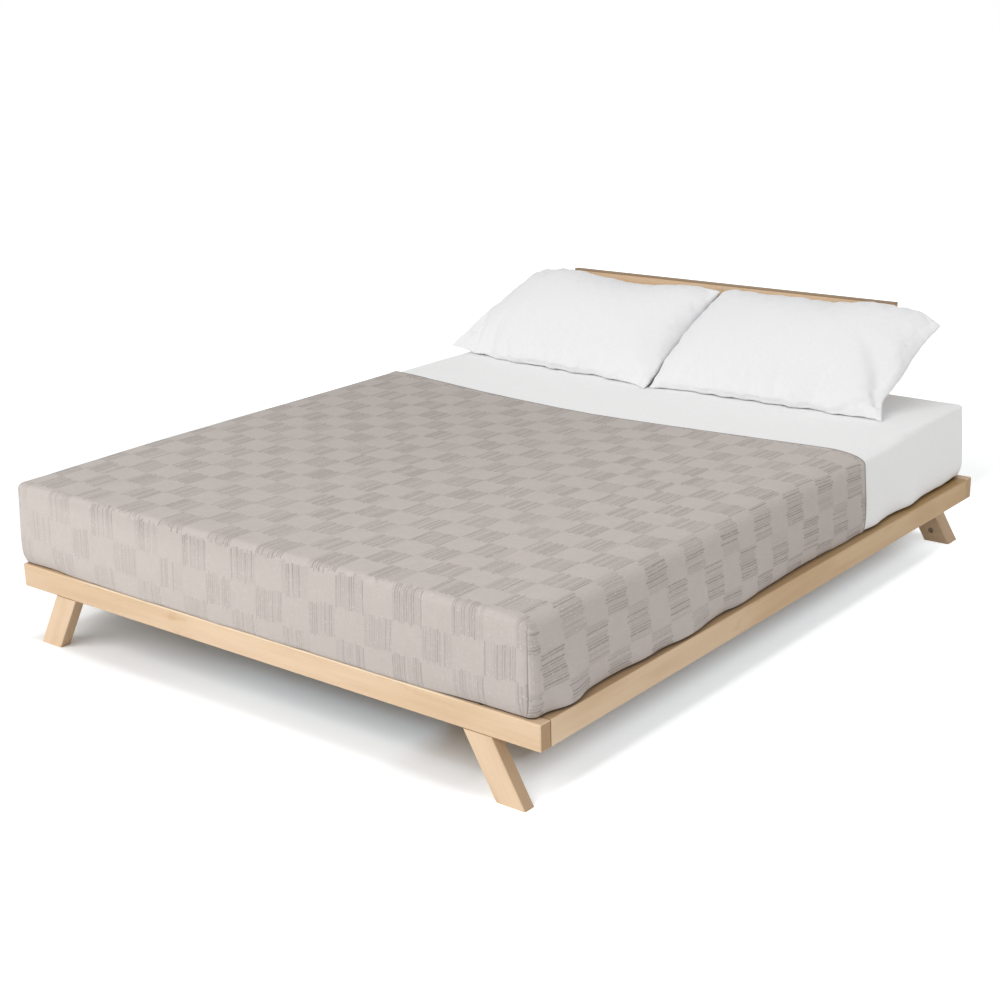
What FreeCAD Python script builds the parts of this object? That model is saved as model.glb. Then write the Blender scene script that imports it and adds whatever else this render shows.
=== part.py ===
import FreeCAD, Part
import math
import os
from FreeCAD import Vector

# Mattress and bedding, mm
mattress_width = 1600.0
mattress_length = 2000.0
mattress_height = 203.0
mattress_corner_radius = 28.0
mattress_edge_radius = 20.0
mattress_crown = 3.0
mattress_shift = -13.0
sheet_thickness = 1.5
sheet_turn_under = 110.0
coverlet_thickness = 4.0
coverlet_bare_head = 622.0
soft_gap = 0.3

# Pillows
pillow_width = 750.0
pillow_depth = 306.0
pillow_rise = 262.8
pillow_bulge = 66.0
pillow_draw_in = 16.0
pillow_corner_round = 70.0
pillow_between = 2.0
pillow_pair_shift = -61.0
pillow_station_shares = (-1.0, -0.94, -0.8, -0.5, 0.0, 0.5, 0.8, 0.94, 1.0)
pillow_plump_shares = (0.06, 0.38, 0.7, 0.93, 1.0, 0.93, 0.7, 0.38, 0.06)
pillow_draw_shares = (0.0, 0.3, 0.6, 0.9, 1.0, 0.9, 0.6, 0.3, 0.0)

# Frame
side_ledge = 20.0
end_ledge = 6.0
leg_height = 142.0
rail_height = 60.0
rail_thickness = 34.0
rail_round = 4.0
ledger_width = 24.0
ledger_height = 38.0
block_size = 40.0
block_gap = 1.0
slat_count = 14
slat_width = 80.0
slat_thickness = 18.0
slat_end_gap = 3.0
slat_round = 2.5

# Centre beam with its hangers and leg
beam_width = 45.0
beam_height = 42.0
beam_end_gap = 1.0
hanger_plate = 3.0
hanger_depth = 45.0
hanger_flange = 22.0
hanger_height = 36.0
hanger_side_gap = 0.3
centre_leg_width = 45.0
centre_leg_round = 3.0
centre_leg_lift = 20.0
leveller_pad_radius = 19.0
leveller_pad_height = 8.0
leveller_pad_floor = 3.0
leveller_stud_radius = 4.0
leveller_stud_length = 45.0
leveller_bore_depth = 46.0
insert_radius = 6.0
insert_length = 20.0

# Legs, headboard posts and headboard
leg_lean = math.radians(30.0)
leg_width = 65.0
leg_thickness = 32.0
leg_round = 3.0
leg_end_inset = 43.0
post_thickness = 24.0
post_top_drop = 40.0
headboard_width = 1122.0
headboard_height = 235.0
headboard_thickness = 22.0
headboard_top = 672.0
headboard_round = 3.0
lap_depth = 12.0

# Fasteners
bolt_radius = 4.0
bolt_head_radius = 8.0
bolt_head_height = 4.0
bolt_recess = 5.0
leg_bolt_reach = 44.0
leg_pin_shift = 5.0
leg_dowel_spread = 21.0
leg_dowel_radius = 4.0
leg_dowel_bite = 20.0
nut_radius = 6.0
nut_length = 20.0
nut_drop = 36.0
nut_wall = 5.0
post_bolt_low = 32.0
post_bolt_rise = 30.0
post_insert_length = 18.0
dowel_radius = 5.0
dowel_in_end_rail = 22.0
dowel_in_side_rail = 34.0
dowel_height_shares = (0.3, 0.7)
hanger_bolt_in_leg = 40.0
hanger_bolt_in_beam = 30.0
screw_radius = 2.25
screw_head_radius = 4.5
screw_head_depth = 2.4
screw_bite = 18.0
headboard_screw_bite = 8.0
block_screw_spread = 10.0
block_screw_low_share = 0.28
block_screw_high_share = 0.72
ledger_screw_every = 2
hanger_screw_height_shares = (0.25, 0.75)
headboard_screw_shares = (0.25, 0.75)

# Fits
fit_clearance = 0.1
running_clearance = 0.05
end_clearance = 0.5
overrun = 10.0
parallel_share = 0.999

# Levels and faces that follow from the sizes above
deck_z = leg_height + rail_height
slat_z = deck_z - slat_thickness
ledger_z = slat_z - ledger_height
beam_z = slat_z - beam_height
frame_width = mattress_width + 2 * side_ledge
frame_length = mattress_length + 2 * end_ledge
half_width = frame_width / 2
inner_x = half_width - rail_thickness
foot_y = -(frame_length + post_thickness) / 2
head_y = foot_y + frame_length
inner_foot_y = foot_y + rail_thickness
inner_head_y = head_y - rail_thickness
middle_y = (foot_y + head_y) / 2
slat_space = (inner_head_y - inner_foot_y - slat_count * slat_width) / (slat_count + 1)
lean_run = math.tan(leg_lean)
leg_outer_x = half_width - leg_end_inset
leg_inner_x = leg_outer_x - leg_width / math.cos(leg_lean)
leg_axis_x = (leg_outer_x + leg_inner_x) / 2
leg_pin_x = leg_axis_x - leg_height * lean_run + leg_pin_shift
post_z = headboard_top - post_top_drop
headboard_z = headboard_top - headboard_height
sheet_out = soft_gap + sheet_thickness
coverlet_in = sheet_out + soft_gap
coverlet_out = coverlet_in + coverlet_thickness
mattress_z = deck_z + soft_gap + sheet_out
mattress_foot_y = foot_y + coverlet_out

ALONG_X = Vector(1, 0, 0)
ALONG_Y = Vector(0, 1, 0)
ALONG_Z = Vector(0, 0, 1)
ORIGIN = Vector(0, 0, 0)


def block(x0, x1, y0, y1, z0, z1):
    """Plain box between two corners."""
    return Part.makeBox(x1 - x0, y1 - y0, z1 - z0, Vector(x0, y0, z0))


def rod(radius, start, way, length):
    """Round bar from a point along a direction."""
    return Part.makeCylinder(radius, length, start, way)


def mirrored(shape):
    """The same shape on the other side of the bed."""
    return shape.mirror(ORIGIN, ALONG_X)


def eased(solid, radius, ways):
    """Round every straight edge that runs along one of the given directions."""
    edges = []
    for edge in solid.Edges:
        run = edge.tangentAt(edge.FirstParameter)
        if any(abs(run.dot(way)) > parallel_share for way in ways):
            edges.append(edge)
    return solid.makeFillet(radius, edges)


def bored(solid, fasteners):
    """Cut the hole of every fastener that reaches this piece."""
    holes = [hole for body, hole in fasteners if solid.BoundBox.intersect(hole.BoundBox)]
    return solid.cut(holes) if holes else solid


def both_sides(fasteners):
    """Repeat a right-hand list of fasteners on the left."""
    return fasteners + [(mirrored(body), mirrored(hole)) for body, hole in fasteners]


def group(fasteners):
    """The bodies of a list of fasteners as one node of separate solids."""
    return Part.makeCompound([body for body, hole in fasteners])


def pin(radius, start, way, length):
    """Plain dowel with its hole, which is a little longer at both ends."""
    body = rod(radius, start, way, length)
    hole_start = start - way * end_clearance
    hole = rod(radius + fit_clearance, hole_start, way, length + 2 * end_clearance)
    return body, hole


def screw(head, way, length):
    """Countersunk wood screw driven from its head point along a direction."""
    cone = Part.makeCone(screw_head_radius, screw_radius, screw_head_depth, head, way)
    body = cone.fuse(rod(screw_radius, head, way, length)).removeSplitter()
    wide = screw_head_radius + fit_clearance
    sink = Part.makeCone(wide, screw_radius + fit_clearance, screw_head_depth, head, way)
    shaft = rod(screw_radius + fit_clearance, head, way, length + end_clearance)
    mouth = rod(wide, head - way * overrun, way, overrun)
    return body, mouth.fuse([sink, shaft])


def bolt(seat, way, length):
    """Flat-headed bolt sunk below a face, with its head bearing on the recess floor."""
    recess_floor = seat + way * bolt_recess
    head = rod(bolt_head_radius, recess_floor - way * bolt_head_height, way, bolt_head_height)
    body = head.fuse(rod(bolt_radius, recess_floor, way, length)).removeSplitter()
    mouth = rod(bolt_head_radius + fit_clearance, seat - way * overrun, way, overrun + bolt_recess)
    shaft = rod(bolt_radius + fit_clearance, seat, way, bolt_recess + length + end_clearance)
    return body, mouth.fuse(shaft)


def slat_centre(index):
    """Distance along the bed to the middle of a slat."""
    return inner_foot_y + slat_space * (index + 1) + slat_width * (index + 1 / 2)


def end_rail(y0):
    """Full-width rail across the foot or the head of the bed."""
    rail = block(-half_width, half_width, y0, y0 + rail_thickness, leg_height, deck_z)
    return eased(rail, rail_round, (ALONG_X, ALONG_Y, ALONG_Z))


def side_rail():
    """Right side rail, butted between the two end rails."""
    rail = block(inner_x, half_width, inner_foot_y, inner_head_y, leg_height, deck_z)
    return eased(rail, rail_round, (ALONG_Y,))


def ledger():
    """Right slat ledger along the inside of the side rail."""
    start = inner_foot_y + block_size + block_gap
    stop = inner_head_y - block_size - block_gap
    return block(inner_x - ledger_width, inner_x, start, stop, ledger_z, slat_z)


def corner_block(y0):
    """Right corner block in the angle of two rails."""
    return block(inner_x - block_size, inner_x, y0, y0 + block_size, ledger_z, slat_z)


def slat(index):
    """One cross slat, its top level with the rails."""
    reach = inner_x - slat_end_gap
    start = slat_centre(index) - slat_width / 2
    bar = block(-reach, reach, start, start + slat_width, slat_z, deck_z)
    return eased(bar, slat_round, (ALONG_X,))


def centre_beam():
    """Beam under the slats from hanger to hanger."""
    start = inner_foot_y + hanger_plate + beam_end_gap
    stop = inner_head_y - hanger_plate - beam_end_gap
    return block(-beam_width / 2, beam_width / 2, start, stop, beam_z, slat_z)


def beam_hanger():
    """Bent steel saddle on the inside of the foot rail."""
    inside = beam_width / 2 + hanger_side_gap
    outside = inside + hanger_plate
    wing = outside + hanger_flange
    back_y = inner_foot_y
    front_y = inner_foot_y + hanger_depth
    plate_y = inner_foot_y + hanger_plate
    base_z = beam_z - hanger_plate
    top_z = beam_z + hanger_height
    saddle = block(-outside, outside, back_y, front_y, base_z, top_z)
    saddle = saddle.cut(block(-inside, inside, plate_y, front_y + overrun, beam_z, top_z + overrun))
    plate = block(-wing, wing, back_y, plate_y, beam_z + rail_round, top_z)
    return saddle.fuse(plate).removeSplitter()


def to_head(shape):
    """A foot-end piece turned round to the head end."""
    return shape.mirror(Vector(0, middle_y, 0), ALONG_Y)


def centre_leg():
    """Square leg under the middle of the beam."""
    half = centre_leg_width / 2
    post = block(-half, half, middle_y - half, middle_y + half, centre_leg_lift, beam_z)
    post = eased(post, centre_leg_round, (ALONG_Z,))
    foot = Vector(0, middle_y, centre_leg_lift - overrun)
    wide = rod(insert_radius + fit_clearance, foot, ALONG_Z, insert_length + overrun)
    long = rod(leveller_stud_radius + end_clearance, foot, ALONG_Z, leveller_bore_depth + overrun)
    return post.cut([wide, long])


def leveller_insert():
    """Sleeve in the foot of the centre leg that takes the leveller's stud."""
    foot = Vector(0, middle_y, centre_leg_lift)
    sleeve = rod(insert_radius, foot, ALONG_Z, insert_length)
    below = foot - ALONG_Z * overrun
    bore = rod(leveller_stud_radius + running_clearance, below, ALONG_Z, insert_length + 2 * overrun)
    return sleeve.cut(bore)


def leveller_stud():
    """Round stud of the adjustable foot."""
    return rod(leveller_stud_radius, Vector(0, middle_y, leveller_pad_floor), ALONG_Z, leveller_stud_length)


def leveller_pad():
    """Round floor pad on the end of the stud."""
    pad = rod(leveller_pad_radius, Vector(0, middle_y, 0), ALONG_Z, leveller_pad_height)
    seat = Vector(0, middle_y, leveller_pad_floor)
    return pad.cut(rod(leveller_stud_radius + fit_clearance, seat, ALONG_Z, leveller_pad_height))


def leaning_bar(top_z, y0, y1, spare=0.0):
    """Right-hand bar that leans in toward the middle of the bed as it rises."""
    run = top_z * lean_run
    low_in = leg_inner_x - spare
    low_out = leg_outer_x + spare
    outline = [Vector(low_in, y0, 0), Vector(low_out, y0, 0)]
    outline += [Vector(low_out - run, y0, top_z), Vector(low_in - run, y0, top_z)]
    face = Part.Face(Part.makePolygon(outline + outline[:1]))
    return face.extrude(Vector(0, y1 - y0, 0))


def leg(y0):
    """Right leg below an end rail."""
    lean_way = Vector(-math.sin(leg_lean), 0, math.cos(leg_lean))
    return eased(leaning_bar(leg_height, y0, y0 + leg_thickness), leg_round, (lean_way,))


def headboard_post():
    """Right post, halved at its front where the headboard laps over it."""
    lean_way = Vector(-math.sin(leg_lean), 0, math.cos(leg_lean))
    post = leaning_bar(post_z, head_y, head_y + post_thickness)
    post = eased(post, leg_round, (lean_way,))
    step_y = head_y + lap_depth
    lap = block(-half_width, half_width, head_y - overrun, step_y, headboard_z, post_z + overrun)
    return post.cut(lap)


def headboard():
    """Flat board with a stopped leaning housing in its back for each post."""
    half = headboard_width / 2
    back_y = head_y + headboard_thickness
    board = block(-half, half, head_y, back_y, headboard_z, headboard_top)
    board = eased(board, headboard_round, (ALONG_X, ALONG_Z))
    housing_y = head_y + lap_depth
    housing = leaning_bar(post_z + fit_clearance, housing_y, back_y + overrun, fit_clearance)
    return board.cut([housing, mirrored(housing)])


def leg_bolts():
    """Bolts down through the end rails into the legs, with the nuts that take them."""
    bolts = []
    nuts = []
    for inside_y, way in ((foot_y + leg_thickness, -ALONG_Y), (head_y - leg_thickness, ALONG_Y)):
        mid_y = inside_y + way.y * leg_thickness / 2
        reach = rail_height - bolt_recess + leg_bolt_reach
        bolts.append(bolt(Vector(leg_pin_x, mid_y, deck_z), -ALONG_Z, reach))
        start = Vector(leg_pin_x, inside_y + way.y * nut_wall, leg_height - nut_drop)
        body = rod(nut_radius, start, way, nut_length)
        thread_foot = Vector(leg_pin_x, mid_y, leg_height - nut_drop - overrun)
        thread = rod(bolt_radius + fit_clearance, thread_foot, ALONG_Z, 2 * overrun)
        mouth = Vector(leg_pin_x, inside_y - way.y * overrun, leg_height - nut_drop)
        depth = overrun + nut_wall + nut_length + end_clearance
        nuts.append((body.cut(thread), rod(nut_radius + fit_clearance, mouth, way, depth)))
    return both_sides(bolts), both_sides(nuts)


def leg_dowels():
    """Two dowels beside each leg bolt."""
    pins = []
    for mid_y in (foot_y + leg_thickness / 2, head_y - leg_thickness / 2):
        for side in (-1, 1):
            foot = Vector(leg_pin_x + side * leg_dowel_spread, mid_y, leg_height - leg_dowel_bite)
            pins.append(pin(leg_dowel_radius, foot, ALONG_Z, 2 * leg_dowel_bite))
    return both_sides(pins)


def corner_dowels():
    """Two dowels in each butt joint between a side rail and an end rail."""
    pins = []
    x = half_width - rail_thickness / 2
    for share in dowel_height_shares:
        z = leg_height + rail_height * share
        length = dowel_in_end_rail + dowel_in_side_rail
        pins.append(pin(dowel_radius, Vector(x, inner_foot_y - dowel_in_end_rail, z), ALONG_Y, length))
        pins.append(pin(dowel_radius, Vector(x, inner_head_y + dowel_in_end_rail, z), -ALONG_Y, length))
    return both_sides(pins)


def post_bolts():
    """Bolts from the bed side into the posts, with the threaded sleeves that take them."""
    bolts = []
    sleeves = []
    high_z = deck_z - post_bolt_rise
    for z, face_y in ((post_bolt_low, head_y - leg_thickness), (high_z, inner_head_y)):
        x = leg_axis_x - z * lean_run
        reach = head_y - face_y - bolt_recess + post_insert_length
        bolts.append(bolt(Vector(x, face_y, z), ALONG_Y, reach))
        start = Vector(x, head_y, z)
        body = rod(insert_radius, start, ALONG_Y, post_insert_length)
        bore = rod(bolt_radius + fit_clearance, start - ALONG_Y * overrun, ALONG_Y, post_insert_length + 2 * overrun)
        hole_length = post_insert_length + end_clearance
        sleeves.append((body.cut(bore), rod(insert_radius + fit_clearance, start, ALONG_Y, hole_length)))
    return both_sides(bolts), both_sides(sleeves)


def headboard_screws():
    """Screws from behind through the halved posts into the headboard."""
    screws = []
    back_y = head_y + post_thickness
    for share in headboard_screw_shares:
        z = headboard_z + (post_z - headboard_z) * share
        head = Vector(leg_axis_x - z * lean_run, back_y, z)
        screws.append(screw(head, -ALONG_Y, post_thickness - lap_depth + headboard_screw_bite))
    return both_sides(screws)


def block_screws():
    """Four screws in each corner block, two into each rail."""
    screws = []
    length = block_size + screw_bite
    mid_x = inner_x - block_size / 2
    low_z = ledger_z + ledger_height * block_screw_low_share
    high_z = ledger_z + ledger_height * block_screw_high_share
    for face_y, way in ((inner_foot_y, -ALONG_Y), (inner_head_y, ALONG_Y)):
        open_y = face_y - way.y * block_size
        mid_y = face_y - way.y * block_size / 2
        for side in (-1, 1):
            shift = side * block_screw_spread
            screws.append(screw(Vector(mid_x + shift, open_y, low_z), way, length))
            screws.append(screw(Vector(inner_x - block_size, mid_y + shift, high_z), ALONG_X, length))
    return both_sides(screws)


def ledger_screws():
    """Screws through the ledgers into the side rails, between the slats."""
    screws = []
    for index in range(1, slat_count - 1, ledger_screw_every):
        y = (slat_centre(index) + slat_centre(index + 1)) / 2
        head = Vector(inner_x - ledger_width, y, ledger_z + ledger_height / 2)
        screws.append(screw(head, ALONG_X, ledger_width + screw_bite))
    return both_sides(screws)


def slat_screws():
    """One screw down through each end of every slat into its ledger."""
    screws = []
    x = inner_x - ledger_width / 2
    for index in range(slat_count):
        head = Vector(x, slat_centre(index), deck_z)
        screws.append(screw(head, -ALONG_Z, slat_thickness + screw_bite))
    return both_sides(screws)


def hanger_screws():
    """Screws through the hanger flanges into the end rails."""
    screws = []
    x = beam_width / 2 + hanger_side_gap + hanger_plate + hanger_flange / 2
    for share in hanger_screw_height_shares:
        z = beam_z + rail_round + (hanger_height - rail_round) * share
        screws.append(screw(Vector(x, inner_foot_y + hanger_plate, z), -ALONG_Y, hanger_plate + screw_bite))
        screws.append(screw(Vector(x, inner_head_y - hanger_plate, z), ALONG_Y, hanger_plate + screw_bite))
    return both_sides(screws)


def centre_leg_bolt():
    """Double-ended bolt between the centre leg and the beam."""
    foot = Vector(0, middle_y, beam_z - hanger_bolt_in_leg)
    return [pin(bolt_radius, foot, ALONG_Z, hanger_bolt_in_leg + hanger_bolt_in_beam)]


def mattress_body(grow):
    """The mattress with a crowned top and soft edges, grown evenly outward for its covers."""
    half = mattress_width / 2
    x0 = mattress_shift - half - grow
    x1 = mattress_shift + half + grow
    y0 = mattress_foot_y - grow
    y1 = mattress_foot_y + mattress_length + grow
    z0 = mattress_z - grow
    arc_radius = (half * half + mattress_crown * mattress_crown) / (2 * mattress_crown)
    arc_z = mattress_z + mattress_height + mattress_crown - arc_radius
    grown_radius = arc_radius + grow
    grown_half = half + grow
    edge_z = arc_z + math.sqrt(grown_radius * grown_radius - grown_half * grown_half)
    crown = Vector(mattress_shift, y0, arc_z + grown_radius)
    left = Vector(x0, y0, edge_z)
    right = Vector(x1, y0, edge_z)
    low = [Vector(x0, y0, z0), Vector(x1, y0, z0)]
    edges = [Part.LineSegment(left, low[0]), Part.LineSegment(low[0], low[1])]
    edges += [Part.LineSegment(low[1], right), Part.Arc(right, crown, left)]
    section = Part.Face(Part.Wire([edge.toShape() for edge in edges]))
    body = section.extrude(Vector(0, y1 - y0, 0))
    body = eased(body, mattress_corner_radius + grow, (ALONG_Z,))
    rims = []
    for face in body.Faces:
        normal = face.normalAt(0, 0)
        if abs(normal.z) > parallel_share and face.Area > mattress_width * mattress_height:
            rims += face.Edges
    return body.makeFillet(mattress_edge_radius + grow, rims)


def fitted_sheet():
    """Thin sheet all round the mattress, open below inside its hem."""
    shell = mattress_body(sheet_out).cut(mattress_body(soft_gap))
    half = mattress_width / 2 - sheet_turn_under
    y0 = mattress_foot_y + sheet_turn_under
    y1 = mattress_foot_y + mattress_length - sheet_turn_under
    mid_z = mattress_z + mattress_height / 2
    hole = block(mattress_shift - half, mattress_shift + half, y0, y1, deck_z - overrun, mid_z)
    return shell.cut(hole)


def coverlet():
    """Coverlet over the foot and sides, tucked under its lower edge, with a straight head edge."""
    shell = mattress_body(coverlet_out).cut(mattress_body(coverlet_in))
    y0 = foot_y - overrun
    top_z = mattress_z + mattress_height + mattress_crown + coverlet_out + overrun
    kept = block(-half_width, half_width, y0, head_y - coverlet_bare_head, deck_z + soft_gap, top_z)
    return shell.common(kept)


def pillow_section(x, plump, draw, rest_z, back_y):
    """Closed outline across a pillow: bulged front, flat base, rounded heel and flat back."""
    front = Vector(x, back_y - pillow_depth + pillow_draw_in * draw, rest_z)
    peak = Vector(x, back_y, rest_z + pillow_rise - pillow_draw_in * draw)
    middle = (front + peak) / 2
    square_heel = Vector(x, back_y, rest_z)
    heel = middle + (square_heel - middle) * plump
    out = (middle - square_heel).normalize()
    crest = middle + out * pillow_bulge * plump
    to_front = (front - heel).normalize()
    to_peak = (peak - heel).normalize()
    half_angle = to_front.getAngle(to_peak) / 2
    base_end = heel + to_front * pillow_corner_round
    back_end = heel + to_peak * pillow_corner_round
    inset = pillow_corner_round * (1 - math.sin(half_angle)) / math.cos(half_angle)
    turn = heel + out * inset
    edges = [Part.Arc(peak, crest, front), Part.LineSegment(front, base_end)]
    edges += [Part.Arc(base_end, turn, back_end), Part.LineSegment(back_end, peak)]
    return Part.Wire([edge.toShape() for edge in edges])


def pillow(centre_x):
    """Plump pillow wedged between the mattress and the headboard."""
    rest_z = mattress_z + mattress_height + mattress_crown + sheet_out + soft_gap
    back_y = head_y - soft_gap
    stations = zip(pillow_station_shares, pillow_plump_shares, pillow_draw_shares)
    sections = []
    for place, plump, draw in stations:
        x = centre_x + place * pillow_width / 2
        sections.append(pillow_section(x, plump, draw, rest_z, back_y))
    return Part.makeLoft(sections, True, False)


def build():
    """Every node of the bed by name."""
    nodes = {}
    bolts, nuts = leg_bolts()
    dowels = leg_dowels()
    corners = corner_dowels()
    post_fixings, sleeves = post_bolts()
    board_screws = headboard_screws()
    blocks = block_screws()
    ledgers = ledger_screws()
    slats = slat_screws()
    hangers = hanger_screws()
    beam_bolt = centre_leg_bolt()

    rail_fixings = bolts + dowels + corners + post_fixings + blocks + hangers
    nodes["foot_rail"] = bored(end_rail(foot_y), rail_fixings)
    nodes["head_rail"] = bored(end_rail(inner_head_y), rail_fixings)
    leg_fixings = bolts + nuts + dowels + post_fixings
    pairs = {
        "side_rail": bored(side_rail(), corners + blocks + ledgers),
        "slat_ledger": bored(ledger(), ledgers + slats),
        "corner_block_foot": bored(corner_block(inner_foot_y), blocks),
        "corner_block_head": bored(corner_block(inner_head_y - block_size), blocks),
        "leg_foot": bored(leg(foot_y), leg_fixings),
        "leg_head": bored(leg(head_y - leg_thickness), leg_fixings),
        "headboard_post": bored(headboard_post(), post_fixings + sleeves + board_screws),
    }
    for name, shape in pairs.items():
        nodes[name + "_right"] = shape
        nodes[name + "_left"] = mirrored(shape)
    for index in range(slat_count):
        nodes["slat_%02d" % (index + 1)] = bored(slat(index), slats)
    nodes["centre_beam"] = bored(centre_beam(), beam_bolt)
    nodes["beam_hanger_foot"] = bored(beam_hanger(), hangers)
    nodes["beam_hanger_head"] = bored(to_head(beam_hanger()), hangers)
    nodes["centre_leg"] = bored(centre_leg(), beam_bolt)
    nodes["leveller_insert"] = leveller_insert()
    nodes["leveller_stud"] = leveller_stud()
    nodes["leveller_pad"] = leveller_pad()
    nodes["headboard"] = bored(headboard(), board_screws)

    nodes["leg_bolts"] = group(bolts)
    nodes["leg_nuts"] = group(nuts)
    nodes["leg_dowels"] = group(dowels)
    nodes["corner_dowels"] = group(corners)
    nodes["post_bolts"] = group(post_fixings)
    nodes["post_sleeves"] = group(sleeves)
    nodes["headboard_screws"] = group(board_screws)
    nodes["corner_block_screws"] = group(blocks)
    nodes["ledger_screws"] = group(ledgers)
    nodes["slat_screws"] = group(slats)
    nodes["hanger_screws"] = group(hangers)
    nodes["centre_leg_bolt"] = group(beam_bolt)

    nodes["mattress"] = mattress_body(0)
    nodes["fitted_sheet"] = fitted_sheet()
    nodes["coverlet"] = coverlet()
    apart = (pillow_width + pillow_between) / 2
    nodes["pillow_left"] = pillow(pillow_pair_shift - apart)
    nodes["pillow_right"] = pillow(pillow_pair_shift + apart)
    return nodes


os.makedirs("parts", exist_ok=True)
for name, shape in build().items():
    shape.exportStep("parts/%s.step" % name)
    print(name, len(shape.Solids), shape.isValid(), round(shape.Volume))
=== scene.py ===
"""Double bed in pale maple with a slatted base, a mattress, a woven coverlet and two pillows."""

import math

import bmesh
import bpy
import numpy as np
from bpy.props import FloatProperty, FloatVectorProperty, PointerProperty
from mathutils import Matrix, Vector, noise


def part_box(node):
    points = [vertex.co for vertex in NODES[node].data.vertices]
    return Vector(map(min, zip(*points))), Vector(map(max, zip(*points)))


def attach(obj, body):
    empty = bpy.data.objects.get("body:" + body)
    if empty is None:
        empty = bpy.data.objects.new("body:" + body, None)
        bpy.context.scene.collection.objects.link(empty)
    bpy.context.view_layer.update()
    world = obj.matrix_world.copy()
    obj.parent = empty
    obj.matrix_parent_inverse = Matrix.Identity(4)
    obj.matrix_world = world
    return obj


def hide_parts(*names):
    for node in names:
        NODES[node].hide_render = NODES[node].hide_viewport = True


bl_info = {
    "name": "Double Bed",
    "version": (1, 0, 0),
    "blender": (4, 5, 0),
    "location": "View3D > Sidebar > Bed",
    "description": "Dresses a maple platform bed with its bedding and sets it on a pale studio floor",
    "category": "Object",
}

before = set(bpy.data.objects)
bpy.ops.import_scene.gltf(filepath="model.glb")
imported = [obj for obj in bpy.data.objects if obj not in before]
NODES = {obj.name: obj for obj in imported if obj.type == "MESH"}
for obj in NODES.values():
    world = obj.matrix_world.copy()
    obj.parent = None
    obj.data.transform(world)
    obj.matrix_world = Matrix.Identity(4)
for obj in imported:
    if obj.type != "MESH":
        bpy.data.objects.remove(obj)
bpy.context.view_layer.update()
SIDES = ("left", "right")
MATTRESS_LOW, MATTRESS_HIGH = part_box("mattress")
MATTRESS_MIDDLE = (MATTRESS_LOW.x + MATTRESS_HIGH.x) / 2
MATTRESS_HALF = (MATTRESS_HIGH.x - MATTRESS_LOW.x) / 2
HEADBOARD_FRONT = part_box("headboard")[0].y


def colour(label, text, default):
    """A colour that the sidebar shows."""
    return FloatVectorProperty(name=label, description=text, default=default, subtype="COLOR", min=0, max=1)


def length(label, text, default):
    """A length in metres that the sidebar shows."""
    return FloatProperty(name=label, description=text, default=default, unit="LENGTH", precision=4)


def level(label, text, default):
    """A plain number that the sidebar shows."""
    return FloatProperty(name=label, description=text, default=default, precision=3)


def angle(label, text, default):
    """An angle that the sidebar shows in degrees."""
    return FloatProperty(name=label, description=text, default=math.radians(default), subtype="ANGLE")


class BedFinishes(bpy.types.PropertyGroup):
    """Colours of the wood, the hardware and the cloth"""

    maple_light: colour("Maple", "Pale wood between the growth lines", (0.82, 0.625, 0.435))
    maple_dark: colour("Maple Lines", "Growth lines and streaks of the frame", (0.66, 0.455, 0.275))
    # End grain, also the tone of the painted shade on narrow edges
    maple_end_and_edge_shade: colour("Maple Ends", "End grain of rails, legs and posts", (0.42, 0.275, 0.155))
    maple_lip_band: colour("Maple Edges", "Pale band along the upper edges of the end rails", (0.92, 0.76, 0.56))
    # Painted shade: the side rails darken towards the head, where less light reaches them
    maple_head_shade: colour("Maple Head Shade", "Tint of the side rails by the head", (0.55, 0.44, 0.23))
    deck_light: colour("Slat Wood", "Pale wood of the slats and their carriers", (0.72, 0.56, 0.38))
    deck_dark: colour("Slat Lines", "Growth lines of the slats", (0.56, 0.39, 0.24))
    dowel: colour("Dowel", "Turned beech dowels", (0.52, 0.35, 0.21))
    steel: colour("Steel", "Zinc plated bolts and screws", (0.62, 0.62, 0.61))
    # Dark steel that stands in for the shade in the post bolts' recesses
    shade_darkened: colour("Shade Darkened Steel", "Darkened bolts and screws", (0.20, 0.150, 0.105))
    hanger: colour("Hangers", "Powder coat on the beam hangers", (0.035, 0.035, 0.038))
    pad: colour("Levelling Pad", "Moulded plastic under the centre leg", (0.02, 0.02, 0.021))
    coverlet: colour("Coverlet", "Ground of the woven coverlet", (0.580, 0.522, 0.488))
    coverlet_cool: colour("Coverlet Shade", "Greyer parts of the ground", (0.545, 0.505, 0.460))
    # Dark floats, also the tone of the painted shade in the gaps and seams
    coverlet_line_and_shade: colour("Coverlet Lines", "Dark floats of the hatched patches", (0.31, 0.272, 0.255))
    coverlet_fleck: colour("Coverlet Flecks", "Pale slubs in the weave", (0.82, 0.78, 0.75))
    sheet: colour("Fitted Sheet", "White cotton of the fitted sheet", (0.97, 0.97, 0.965))
    pillow: colour("Pillow Cases", "White cotton of the pillow cases", (0.92, 0.92, 0.93))
    ticking: colour("Ticking", "Cover of the mattress", (0.74, 0.72, 0.68))


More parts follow.
